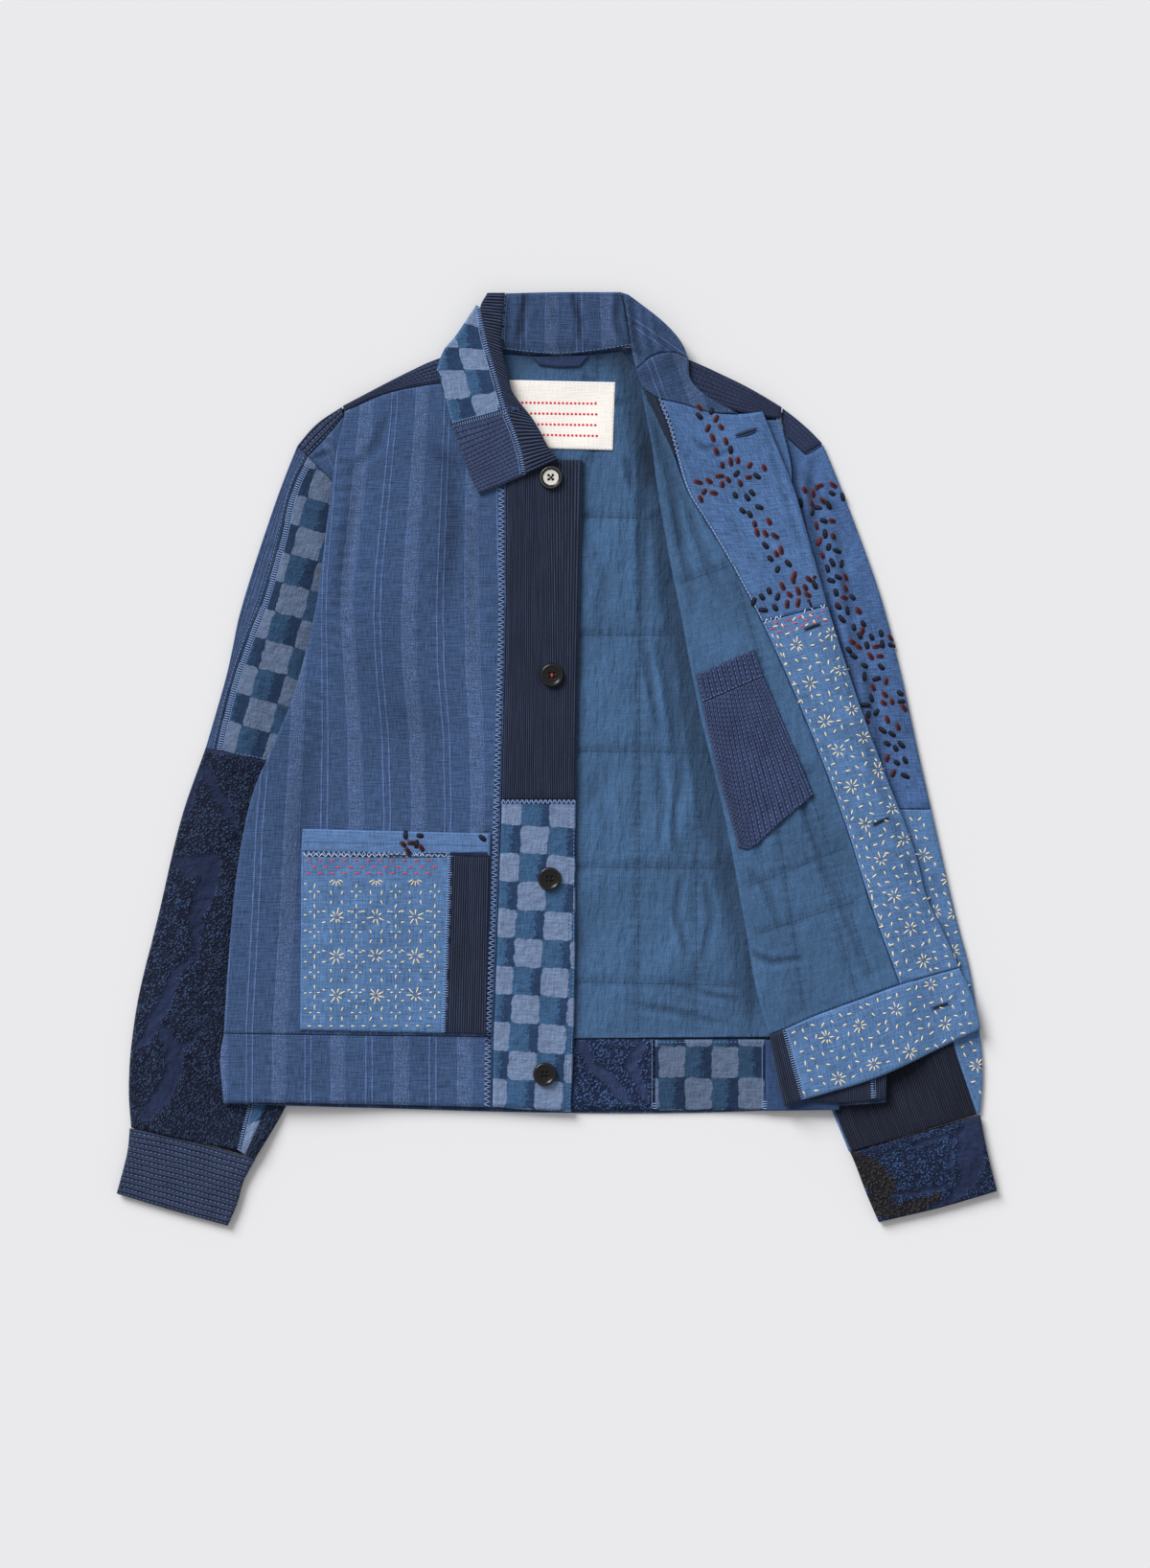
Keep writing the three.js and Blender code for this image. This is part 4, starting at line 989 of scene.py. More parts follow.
# %% One finish for each cloth
CLOTH = {
    "striped": striped_cloth("striped_cotton"),
    "lining": lining_cloth(),
    "star_stitched": plain_cloth("star_cotton", rgb(84, 118, 163), 0.9),
    "plain_blue": plain_cloth("facing_cotton", rgb(74, 105, 151), 1.0, 0.4),
    "corduroy": corduroy("corduroy", rgb(41, 49, 70)),
    "dark_stitched": kantha_cloth("kantha_cotton", rgb(52, 64, 93)),
    "checked": checked_cloth("checked_cotton", tone=0.8),
    "looped": looped_cloth("looped_cotton", rgb(18, 23, 42), rgb(66, 90, 132), rgb(33, 43, 72)),
    "label_cloth": plain_cloth("label_cotton", rgb(250, 244, 238), 0.12, 0.05),
}
OWN_CLOTH = {  # pieces cut from a bolt of their own; the collar's striped pieces are darkened as painted shade
    "pocket_band": plain_cloth("pocket_band_cotton", rgb(88, 120, 167), 0.6),
    "collar_right_corduroy": corduroy("corduroy_across", rgb(50, 60, 86), 2.8, down=True, bold=0.95),
    "sleeve_left_corduroy": corduroy("sleeve_corduroy", rgb(34, 39, 56)),
    "inner_pocket": kantha_cloth("inner_pocket_kantha", rgb(58, 72, 112), along_u=False),
    "inner_pocket_band": kantha_cloth("pocket_band_kantha", rgb(56, 70, 110), along_u=False),
    "sleeve_left_plain": plain_cloth("sleeve_blue_cotton", rgb(70, 99, 146), 1.0, 0.5),
    "collar_right_dark": kantha_cloth("collar_kantha", rgb(54, 66, 98), pitch=3.6, bold=0.45),
    "hanger_loop": plain_cloth("hanger_cotton", rgb(44, 58, 92)),
    "cuff_left_top": looped_cloth("cuff_looped_cotton", rgb(20, 28, 50), rgb(66, 98, 152), rgb(35, 45, 75)),
    "back_hem_looped": looped_cloth("hem_looped_cotton", rgb(22, 32, 58), rgb(78, 108, 164), rgb(44, 56, 90)),
    "sleeve_right_checked": checked_cloth("sleeve_checks", 23.5, 24.7, 1.25, 0.45, 0.58),
    "back_hem_checked": checked_cloth("hem_checks", 22.2, 26.3, 1.05, 0.45, 0.5),
    "collar_right_checked": checked_cloth("collar_checks", 21.5, 22.0, 1.15, 0.6, 0.82),
    "back_hem_plain": plain_cloth("hem_plain_cotton", rgb(50, 72, 110)),
    "sleeve_right_strip": striped_cloth("strip_cotton", 0.68, 11.0, 0.9, 2.2),
    # The collar's three striped pieces are darker copies of the striped cloth: painted shade for the collar's
    # folds.
    "collar_back": striped_cloth("collar_cotton", 0.88),
    "collar_left": striped_cloth("collar_end_cotton", 0.9),
    "collar_left_fold": striped_cloth("collar_fold_cotton", 0.8),
    "yoke_left": kantha_cloth("yoke_kantha", rgb(41, 49, 75), bold=0.3),
    "yoke_right": kantha_cloth("right_yoke_kantha", rgb(45, 55, 83), bold=0.6),
    "sleeve_left_head": kantha_cloth("head_kantha", rgb(43, 52, 80), bold=0.3),
}
print(len(CLOTH) + len(OWN_CLOTH), "cloths")

# %% [markdown]
# ## Making the pieces
# Each panel becomes one closed mesh: its upper face, its lower face turned over, and a narrow wall round
# the rim.

# %% Meshes
def mesh_of(name, points, faces, finishes, uv=None, numbers=None):
    """A smooth mesh from points in millimetres and an array of faces with the same number of corners each."""
    mesh = bpy.data.meshes.new(name)
    count, corners = faces.shape
    mesh.vertices.add(len(points))
    mesh.vertices.foreach_set("co", (points * MM).ravel())
    mesh.loops.add(count * corners)
    mesh.loops.foreach_set("vertex_index", faces.ravel().astype(np.int32))
    mesh.polygons.add(count)
    mesh.polygons.foreach_set("loop_start", np.arange(0, count * corners, corners, dtype=np.int32))
    for finish in finishes:
        mesh.materials.append(finish)
    if numbers is not None:
        mesh.polygons.foreach_set("material_index", numbers.astype(np.int32))
    mesh.polygons.foreach_set("use_smooth", np.ones(count, bool))
    if uv is not None:
        layer = mesh.uv_layers.new(name="cloth")
        layer.data.foreach_set("uv", (uv[faces.ravel()] * MM).ravel())
    mesh.update(calc_edges=True)
    made = bpy.data.objects.new(name, mesh)
    bpy.context.scene.collection.objects.link(made)
    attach(made, "root")
    return made


def closed(rows, columns):
    """The quads of a closed sheet of two lattices: above, below turned over, and the wall round them. Also
    how many of them are above."""
    above = np.arange(rows * columns).reshape(rows, columns)
    quads = np.stack([above[:-1, :-1], above[1:, :-1], above[1:, 1:], above[:-1, 1:]], axis=-1).reshape(-1, 4)
    rim = np.concatenate([above[:, 0], above[-1, 1:], above[-2::-1, -1], above[0, -2:0:-1]])
    after = np.roll(rim, -1)
    below = rows * columns
    wall = np.stack([rim, rim + below, after + below, after], axis=-1)
    return np.concatenate([quads, quads[:, ::-1] + below, wall]), len(quads)


def keep_numbers(made, name, values):
    """Gives a mesh a number for each of its points, under a name that its finish asks for."""
    attribute = made.data.attributes.new(name, "FLOAT", "POINT")
    attribute.data.foreach_set("value", values.ravel().astype(np.float32))


def sewn(p):
    """The panel as a piece that stands for its solid."""
    faces, _ = closed(*p.s.shape)
    points = np.concatenate([p.top.reshape(-1, 3), p.under.reshape(-1, 3)])
    uv = np.stack([p.u.ravel(), p.v.ravel()], axis=-1)
    finish = OWN_CLOTH.get(p.node, CLOTH[SLOT[p.node]])
    made = mesh_of(p.node + "_cloth", points, faces, [finish], np.concatenate([uv, uv]))
    # the painted shade, and where the pile lies, as numbers for the finish
    for kind in ("deep", "pile", "brown") if p.node in LOOPED else ("deep",):
        keep_numbers(made, kind, np.tile(getattr(p, kind).ravel(), 2))
    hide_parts(p.node)
    return made


for p in panels.values():
    p.piece = sewn(p)
print("drawn:", sum(len(p.piece.data.polygons) for p in panels.values()), "quads")

# %% [markdown]
# ## Thread on cloth
# A stitch is a short length of thread that lies on the cloth and dips into it at both ends. Each one is
# drawn as a low rounded bead between its two ends, of a few dozen faces, and all the stitches of a piece
# are one mesh. The needle looks straight down for the cloth's surface at each end, so that a seam's
# stitches cross from one piece to the next.

# %% Where the cloth is
def surface_tree():
    """All upper faces as one tree that a ray can be dropped on."""
    points, faces, count = [], [], 0
    for p in panels.values():
        quads, upper = closed(*p.s.shape)
        points.append(p.top.reshape(-1, 3))
        faces.append(quads[:upper] + count)
        count += p.s.size
    return BVHTree.FromPolygons(np.concatenate(points).tolist(), np.concatenate(faces).tolist())


tree = surface_tree()
ABOVE_ALL = 100  # mm, higher than any cloth


def on_cloth(places):
    """The height of the uppermost cloth at each (x, y) and its normal, as rows of (z, nx, ny, nz)."""
    down = Vector((0, 0, -1))
    found = []
    for x, y in places:
        hit, normal, _, _ = tree.ray_cast(Vector((x, y, ABOVE_ALL)), down)
        found.append((hit.z, *normal) if hit else (0, 0, 0, 1))
    return np.reshape(found, (-1, 4))


NEAR, LOWER = 6, 3.5  # mm that a stitch may leave its panel: sideways, and down


def own_place(p, places, heights, slack):
    """Which places are not covered by a higher piece: the uppermost cloth there is less than the slack above
    the panel."""
    if not hasattr(p, "near"):
        p.near = KDTree(p.x.size)
        for number, (x, y) in enumerate(zip(p.x.ravel(), p.y.ravel())):
            p.near.insert((x, y, 0), number)
        p.near.balance()
    nearest = [p.near.find((x, y, 0)) for x, y in places]
    level = p.level.ravel()[[number for _, number, _ in nearest]]
    close = np.array([away for _, _, away in nearest]) < NEAR
    return (heights < level + slack) & (heights > level - LOWER) & close


# %% One stitch, and many
def bead():
    """A stitch of length, width and height 1: three rings of six points, and a point at each end."""
    turn = np.arange(6) * np.pi / 3
    rings = [
        np.stack([np.full(6, a), r * np.cos(turn) / 2, r * np.sin(turn)], axis=-1)
        for a, r in ((-0.36, 0.78), (0.0, 1.0), (0.36, 0.78))
    ]
    points = np.concatenate([[[-0.5, 0, -0.25]], *rings, [[0.5, 0, -0.25]]])
    k = np.arange(6)
    n = (k + 1) % 6
    faces = [np.stack([0 * k, 1 + n, 1 + k], axis=-1), np.stack([0 * k + 19, 13 + k, 13 + n], axis=-1)]
    for ring in (1, 7):
        faces += [
            np.stack([ring + k, ring + n, ring + 6 + n], axis=-1),
            np.stack([ring + k, ring + 6 + n, ring + 6 + k], axis=-1),
        ]
    return points, np.concatenate(faces)


BEAD, BEAD_FACES = bead()
THREADS = {
    "cream": rgb(244, 226, 184),
    "red": rgb(222, 58, 74),
    "oxblood": rgb(70, 36, 46),
    "rust": rgb(86, 36, 44),
    "wine": rgb(26, 18, 30),
    "navy": rgb(26, 32, 54),
    "steel": rgb(26, 33, 56),
    "midnight": rgb(15, 19, 34),
    "night": rgb(32, 45, 76),
    "ink": rgb(38, 52, 86),
    # painted shade: dark thread for the buttonholes' gape, and for the quilting, where it is also real thread
    "deep": rgb(44, 68, 100),
    "blue": rgb(74, 102, 150),
    "sky": rgb(132, 162, 210),
    "white": rgb(206, 218, 236),
    "black": rgb(14, 16, 22),
}
THREAD = {name: Finish(name + "_thread").done(dye, roughness=0.7, sheen=0.1) for name, dye in THREADS.items()}
work = {node: [] for node in panels}


def stitch(node, starts, ends, thread, width=0.9, height=0.45):
    """Adds stitches to a piece, each from one (x, y) to another."""
    starts, ends = np.reshape(starts, (-1, 2)).astype(float), np.reshape(ends, (-1, 2)).astype(float)
    work[node].append((starts, ends, thread, width, height))


SLACK = 1.3  # mm that other cloth may lie over a stitch's own piece
LESS_SLACK = {"back_lining": 0.9}  # so that the quilting stops at the label


def stitched(node):
    """All stitches of a piece as one mesh: each bead is turned along its two ends and the cloth's normal."""
    points, numbers = [], []
    used = sorted({row[2] for row in work[node]})
    for starts, ends, thread, width, height in work[node]:
        middle = on_cloth((starts + ends) / 2)
        own = own_place(panels[node], (starts + ends) / 2, middle[:, 0], LESS_SLACK.get(node, SLACK))
        starts, ends, middle = starts[own], ends[own], middle[own]
        low, high = on_cloth(starts), on_cloth(ends)
        a = np.column_stack([starts, low[:, 0]])
        b = np.column_stack([ends, high[:, 0]])
        rise = np.clip(middle[:, 0] - (a[:, 2] + b[:, 2]) / 2, -0.2, 2)
        along = b - a
        length = np.linalg.norm(along, axis=1, keepdims=True)
        along /= length
        side = np.cross(middle[:, 1:], along)
        side /= np.linalg.norm(side, axis=1, keepdims=True)
        up = np.cross(along, side)
        centre = (a + b) / 2 + np.column_stack([0 * rise, 0 * rise, rise])
        part = centre[:, None] + along[:, None] * BEAD[:, :1] * length[:, None]
        part = part + side[:, None] * BEAD[:, 1:2] * width + up[:, None] * BEAD[:, 2:] * height
        points.append(part.reshape(-1, 3))
        numbers.append(np.full(len(starts) * len(BEAD_FACES), used.index(thread)))
    points = np.concatenate(points)
    count = len(points) // len(BEAD)
    if not count:
        return None
    faces = (BEAD_FACES[None] + np.arange(count)[:, None, None] * len(BEAD)).reshape(-1, 3)
    finishes = [THREAD[name] for name in used]
    return mesh_of(node + "_stitches", points, faces, finishes, numbers=np.concatenate(numbers))


# %% Lines to sew along
def left_of(slopes):
    """Directions turned a quarter to the left, as rows of (x, y)."""
    return np.stack([-slopes[:, 1], slopes[:, 0]], axis=-1)


def pointing(turns):
    """Directions of some turns, in radians, as rows of (x, y)."""
    return np.stack([np.cos(turns), np.sin(turns)], axis=-1)


def along(node, side, inset=0.0, begin=0.0, end=1.0):
    """A side of a piece as a line of (x, y), moved inwards. Sides run anticlockwise: west goes down."""
    top = panels[node].top[..., :2]
    rim = {"west": top[:, 0], "south": top[-1], "east": top[::-1, -1], "north": top[0, ::-1]}[side]
    rim = rim[round(begin * (len(rim) - 1)) : round(end * (len(rim) - 1)) + 1]
    slope = np.gradient(rim, axis=0)
    return rim + inset * left_of(slope / np.linalg.norm(slope, axis=1, keepdims=True))


def walk(path, pitch):
    """Places along a line a pitch apart, and the line's direction at each."""
    path = np.array(path, float)
    reach = np.concatenate([[0], np.cumsum(np.hypot(*np.diff(path, axis=0).T))])
    places = np.arange(pitch / 2, reach[-1], pitch)
    behind, centre, ahead = (
        np.stack([np.interp(places + step, reach, path[:, k]) for k in (0, 1)], axis=-1)
        for step in (-0.5, 0, 0.5)
    )
    slope = ahead - behind
    return centre, slope / np.linalg.norm(slope, axis=1, keepdims=True)


def running(node, path, thread="navy", pitch=3.3, length=2.3, width=0.45, height=0.25):
    """Plain running stitch along a line."""
    centre, slope = walk(path, pitch)
    stitch(node, centre - slope * length / 2, centre + slope * length / 2, thread, width, height)


STROKE = (0.85, 0.5)  # width and height, in millimetres, of a stroke across a seam
STROKES_APART = 1.95


def shadow(node, path, width):
    """A low dark bed for a seam, a little narrower than its strokes."""
    running(node, path, "night", 2.4, 3.2, width * 0.95, 0.14)


def zigzag(node, path, thread="sky", pitch=STROKES_APART, width=5.0, lean=0.9):
    """Strokes to and fro across a seam, each leaning the other way from the one before it."""
    centre, slope = walk(path, pitch)
    way = np.where(np.arange(len(centre)) % 2, 1, -1)[:, None] * lean
    half = left_of(slope) * width / 2 + slope * way
    shadow(node, centre, width)
    stitch(node, centre - half, centre + half, thread, *STROKE)


def ladder(node, path, thread="sky", width=5.0, edge=True):
    """Short bars across a seam, with a line of thread down one side of them."""
    centre, slope = walk(path, STROKES_APART)
    half = left_of(slope) * width / 2
    shadow(node, path, width)
    stitch(node, centre - half, centre + half, thread, *STROKE)
    if edge:
        running(node, centre + half, thread, 1.9, 2.2, 0.5)


def report(step):
    """Says how much is sewn after a step."""
    print(step, "done,", sum(len(row[0]) for rows in work.values() for row in rows), "stitches so far")


print("needle and thread are ready:", len(THREADS), "threads")

# %% [markdown]
# ## Seams and topstitching
# Patches are joined with a zigzag or a ladder in light blue thread, and free edges are held flat by a line
# of small running stitches just inside them.

# %% Seams
zigzag("front_right", along("placket_corduroy", "west", -4.4), pitch=2.1, width=5.6)
for node in ("front_right", "hem_band_right"):
    zigzag(node, along("placket_checked", "west", -4.4), pitch=2.1, width=5.6)
zigzag("placket_checked", along("placket_checked", "north", 1.5), width=4.0)
ladder("collar_right_checked", along("collar_right_checked", "east", 1.5), width=5.0)
ladder("collar_right_checked", along("collar_right_checked", "south", 0.5), width=4.5)
ladder("collar_right_dark", along("collar_right_dark", "east", 1.5), width=5.0)
ladder("collar_right_corduroy", [(-54, 292), (-30, 291)], "blue", width=3.0)
ladder("collar_back", along("collar_back", "west", 0, 0.1, 0.85), width=3.6)
ladder("sleeve_right_checked", along("sleeve_right_checked", "west", 2.8, 0.05), width=4.8)
running("sleeve_right_checked", along("sleeve_right_checked", "south", 1.6), "sky")
zigzag("sleeve_right_looped", along("sleeve_right_looped", "north", 0.5), "ink", width=3.0)
ladder("sleeve_right_sliver", along("sleeve_right_sliver", "west", 0.4), width=4.0)
zigzag("pocket_corduroy", along("pocket_corduroy", "west", 0.0), width=6.0, lean=0.3)
ladder("pocket_band", [(-89, -79.5), (-57, -79.5)], "ink", width=5.0, edge=False)
zigzag("pocket_band", [(-211, -80), (-91, -80.5)], "white", 2.6, 3.6, 1.5)
zigzag("pocket_band", [(-211, -79), (-91, -79.5)], "sky", 2.1, 5.0, 1.2)
zigzag("facing_neck", along("facing_plain", "west", 1.4, 0.0, 0.28), width=3.6)
zigzag("facing_plain", along("facing_plain", "south", 0.0), "white", 2.1, 3.6, 1.0)
ladder("hem_facing_star", along("hem_facing_star", "west", -0.5), width=4.6)
ladder("back_hem_looped", along("back_hem_looped", "east", 0.0), width=4.6)
ladder("back_hem_checked", along("back_hem_checked", "east", 0.0), width=4.6)
running("back_hem_checked", along("back_hem_checked", "north", 2.0), "sky")
ladder("hem_band_left", [(263, -254), (264, -284)], width=4.4)
report("seams")

# %% Topstitching
TOPSTITCHED = {
    "placket_corduroy": (("east", 2.4, "ink"), ("north", 2.4, "ink")),
    "placket_checked": (("east", 5.5, "ink"), ("east", 1.4, "sky"), ("south", 2.0, "ink")),
    "hem_band_right": (("north", 1.6, "ink"), ("south", 2.0, "ink")),
    "pocket_star": (("west", 1.6, "blue"), ("south", 1.6, "blue")),
    "pocket_corduroy": (("south", 1.8, "ink"), ("east", 1.8, "ink")),
    "pocket_band": (("north", 1.8, "blue"), ("west", 1.6, "blue"), ("east", 1.6, "blue")),
    "collar_back": (("south", 1.2, "sky"), ("north", 2.0, "blue")),
    "collar_right_checked": (("west", 1.8, "sky"),),
    "collar_right_dark": (("west", 1.8, "ink"), ("south", 1.8, "ink")),
    "collar_right_corduroy": (("south", 2.0, "ink"),),
    "collar_left": (("south", 1.8, "blue"), ("east", 1.8, "blue")),
    "collar_left_fold": (("south", 1.8, "blue"), ("east", 1.8, "blue")),
    "facing_plain": (("west", 1.0, "white"), ("west", 2.4, "navy")),
    "facing_star": (("west", 1.2, "sky"), ("east", 2.0, "blue")),
    "hem_facing_star": (("north", 1.4, "sky"), ("south", 1.8, "blue")),
    "inner_pocket_band": (("south", 1.0, "sky"),),
    "inner_pocket": (("east", 1.6, "blue"), ("south", 1.6, "blue"), ("west", 1.6, "blue")),
    "cuff_right_top": (("north", 1.6, "ink"), ("south", 1.8, "ink")),
    "cuff_left_top": (("north", 1.6, "ink"), ("south", 1.8, "ink")),
    "hanger_loop": (("north", 1.6, "ink"), ("south", 1.6, "ink")),
    "label": (("south", 1.2, "white"), ("east", 1.2, "white"), ("north", 1.2, "white")),
    "yoke_right": (("south", 1.5, "ink"),),
    "yoke_left": (("south", 1.5, "ink"),),
    "sleeve_right_strip": (("east", 2.4, "sky"),),
    "front_left_lining": (("south", 1.5, "ink"),),
}
for node, lines in TOPSTITCHED.items():
    for side, inset, thread in lines:
        running(node, along(node, side, inset), thread)
# Quilting in thread darker than the lining: real stitches that also paint shade along their troughs.
for node, quilt in (("back_lining", LINING_QUILT), ("front_left_lining", FLAP_QUILT)):
    for line in quilt:
        running(node, line, "deep", 3.4, 3.0, 0.9, 0.2)
running("pocket_band", [(-211, -69), (-57, -72.5)], "ink", 2.6, 2.2, 0.5)
report("topstitching")

# %% [markdown]
# ## Stars in cream thread
# The light blue patches are worked with stars of seven or eight rays, and with short dashes between them
# that keep to the lines of a net. On the pocket the stars stand in rows. On the facing, the hem and the
# sleeve they are scattered, and the net turns with the piece.

# %% Stars
def star(node, centre, turn, rng, reach):
    """Seven or eight rays round a centre, uneven in length."""
    count = rng.integers(7, 9)
    turns = turn + rng.uniform(0, 0.5) + np.arange(count) * 2 * np.pi / count + rng.normal(0, 0.1, count)
    rays = pointing(turns)
    inner, outer = rng.uniform(1.2, 2.2, (count, 1)), rng.uniform(0.72, 1.12, (count, 1)) * reach
    stitch(node, centre + rays * inner, centre + rays * outer, "cream", 1.1, 0.5)


def dashes(node, centres, slopes, rng, length=3.8, thread="cream", width=1.1, loose=0.13):
    """Loose dashes at places, each in its own direction, a little uneven."""
    centres, slopes = np.array(centres, float), np.array(slopes, float)
    turns = np.arctan2(slopes[:, 1], slopes[:, 0]) + rng.normal(0, loose, len(slopes))
    half = pointing(turns) * rng.uniform(0.82, 1.15, (len(turns), 1)) * length / 2
    stitch(node, centres - half, centres + half, thread, width, 0.5)


# %% The pocket's rows
rng = np.random.default_rng(7)
POCKET_COLUMNS, POCKET_ROWS = (-183.5, -150.5, -118.0), (-131.5, -164.5, -197.0)
HALF_STAR = pointing(np.pi + np.linspace(0.5, np.pi - 0.5, 5))


def four_round(x, y, aside, down):
    """The corners of a box round a place, the lower two first."""
    return [(x + i * aside, y + j * down) for j in (-1, 1) for i in (-1, 1)]


for x in POCKET_COLUMNS:
    for y in POCKET_ROWS:
        star("pocket_star", np.array([x, y]), 0.2, rng, 7.4)
    top = np.array([x, -99.5])
    stitch("pocket_star", top + HALF_STAR * 2, top + HALF_STAR * 7, "cream", 0.95, 0.5)
    for y in (-115.5, -148.0, -180.5, -212.5):
        dashes("pocket_star", four_round(x, y, 4.6, 4), [(0.3, 1), (-0.3, 1), (-0.3, 1), (0.3, 1)], rng)
    for y in POCKET_ROWS:
        ways = [(1, 0.25), (1, -0.25), (1, -0.25), (1, 0.25)]
        dashes("pocket_star", four_round(x, y, 10.5, 4.6), ways, rng, 3.2)
for x in (-201.8, -167.0, -134.2, -101.6):
    for number, y in enumerate(np.arange(-106, -222, -8.4)):
        dashes("pocket_star", [(x, y)], [(0.05, 1)], rng, 4.2)
        if number % 2:
            dashes("pocket_star", [(x - 3.4, y + 3.8), (x + 3.4, y + 3.8)], [(1, 0.1), (1, -0.1)], rng, 2.6)
dashes("pocket_star", [(x, -222.5) for x in range(-206, -98, 9)], [(1, 0)] * 12, rng, 3.4)
dashes("pocket_star", [(-209.5, y) for y in range(-104, -220, -13)], [(1, 0.1)] * 9, rng, 2.6)
for row, y in enumerate((-84.5, -90.2, -95.4)):
    places = [(x, y) for x in np.arange(-207 + 5 * (row % 2), -98, 10)]
    dashes("pocket_star", places, [(1, 0)] * len(places), rng, 4.2, "red", 1.3)
report("pocket")


# %% The wandering net
def net(node, stars, turn, seed, pitch=8.3, margin=2.5, reach=6.8):
    """Stars at places, and dashes where the lines of a net cross, turned with the piece, except where a star
    is near. A crossing takes the piece's nearest point."""
    p, rng = panels[node], np.random.default_rng(seed)
    c, s = math.cos(math.radians(turn)), math.sin(math.radians(turn))
    for centre in stars:
        star(node, np.array(centre, float), math.radians(turn) + 0.3, rng, reach)
    ahead, aside = level(turn=turn)(p)
    column, line = np.round(ahead / pitch), np.round(aside / pitch)
    wanted = {}
    for number in zip(*np.nonzero(p.edge > margin)):
        key = (column[number], line[number])
        off = math.hypot(ahead[number] - key[0] * pitch, aside[number] - key[1] * pitch)
        if off < 1.6 and off < wanted.get(key, (9,))[0]:
            wanted[key] = (off, float(p.x[number]), float(p.y[number]))
    centres, slopes = [], []
    for (a, b), (_, x, y) in wanted.items():
        if all(math.hypot(x - q[0], y - q[1]) > reach + 1.6 for q in stars):
            centres.append((x + rng.normal(0, 0.9), y + rng.normal(0, 0.9)))
            slopes.append((c, s) if (a + b) % 2 else (-s, c))
    dashes(node, centres, slopes, rng, 4.3, width=1.25, loose=0.4)


FACING_STARS = (
    (200, 95), (211, 63), (224, 31), (235, 7), (246, -23), (257, -54), (270, -84), (281, -114), (295, -141),
    (306, -168), (229, 105), (237, 74), (246, 41), (256, 18), (268, -9), (280, -41), (290, -67),
)
HEM_STARS = (
    (225, -232), (252, -222), (283, -209), (312, -188), (264, -254), (294, -244), (235, -266), (324, -221),
)
SLEEVE_STARS = (
    (316, -127), (332, -129), (327, -100), (331, -160), (351, -256), (306, -80), (340, -190), (346, -222),
)
net("facing_star", FACING_STARS, -70, seed=3)
net("hem_facing_star", HEM_STARS, 20, seed=4)
net("sleeve_left_star", SLEEVE_STARS, -72, seed=5)

# %% The facing's top rows
for row, inset in enumerate((3.4, 7.4, 11.4)):
    centre, slope = walk(along("facing_star", "north", inset, end=0.9), 10)
    dashes("facing_star", centre + slope * 5 * (row % 2), slope, rng, 4.0, "red", 1.2)
running("facing_star", along("facing_star", "west", 3.0, 0.04), "cream", 8.6, 3.8, 0.95, 0.5)
report("stars and dashes")

# %% [markdown]
# ## Seeds in dark thread
# On the plain blue facing and sleeve small leaf shapes wander in chains: each is a thick thread with a second
# one over it, in dark blue, brown or a dull red. Their places are given in a chart, in millimetres.

# %% Seeds
SEEDS = {
    "facing_plain": {
        "red": """119,293 133,284 137,277 130,268 141,265 133,257 145,248 151,249 161,245 173,243 136,236
            160,235 118,231 127,232 138,229 131,222 120,217 177,198 167,189 174,188 187,174 183,171 198,153
            197,149 217,152 188,144 201,140 194,137 209,137 201,130 211,129""",
        "blue": """129,290 119,286 145,258 150,238 167,236 149,220 163,222 159,218 155,207 161,204 169,210
            174,178 178,167 193,163 184,158 215,145 177,140 171,135 184,135 172,124 182,126 164,131""",
        "brown": "126,276 138,245 143,233 153,230 123,223 165,196 182,186 210,150 207,143 192,129",
    },
    "sleeve_left_plain": {
        "red": """207,225 219,228 231,229 214,222 213,214 222,216 230,199 217,195 219,182 222,170 241,152
            241,143 240,135 252,124 252,123 255,107 247,98 267,94 252,94 279,101 262,86 270,86 275,65 264,60
            274,54 273,47 280,48 290,43 276,33 259,32 285,27 276,1""",
        "blue": """230,222 239,219 204,214 227,212 218,210 214,207 223,199 224,188 227,177 234,174 230,164
            238,163 226,159 235,152 229,149 233,139 247,135 235,127 243,124 238,117 256,113 248,110 271,105
            253,103 263,102 272,96 259,95 280,95 244,91 248,86 257,78 271,77 267,67 257,69 287,55 263,51
            288,48 258,45 267,39 260,37 272,24 280,21 276,13 283,9 288,12 284,-3 291,-1 291,-14""",
        "brown": "231,186 235,128 281,-12",
    },
    "pocket_band": {
        "blue": "-126,-63 -114,-64 -117,-71 -62,-66",
        "brown": "-128,-71 -121,-70 -113,-74 -124,-77",
    },
}
SEED_THREADS = {"red": ("rust", "wine"), "blue": ("midnight", "steel"), "brown": ("oxblood", "wine")}
for node, chart in SEEDS.items():
    for dye, places in chart.items():
        centre = np.array([place.split(",") for place in places.split()], float)
        turns = np.radians(-62) + rng.normal(0, 0.6, len(centre))
        half = pointing(turns) * rng.uniform(3.4, 4.7, (len(centre), 1))
        below, above = SEED_THREADS[dye]
        stitch(node, centre - half, centre + half, below, 4.6, 0.8)
        centre, half = centre + left_of(half) * 0.066, half * 0.75
        stitch(node, centre - half, centre + half, above, 2.4, 1.1)
report("seeds")

# %% [markdown]
# ## Buttonholes and the label's rows
# A buttonhole is a slit with a close row of stitches down each side. Where it gapes, the shadow is
# painted: a wide flat bead of dark thread, with a black one for the slit. The label keeps only rows of
# red running stitch.

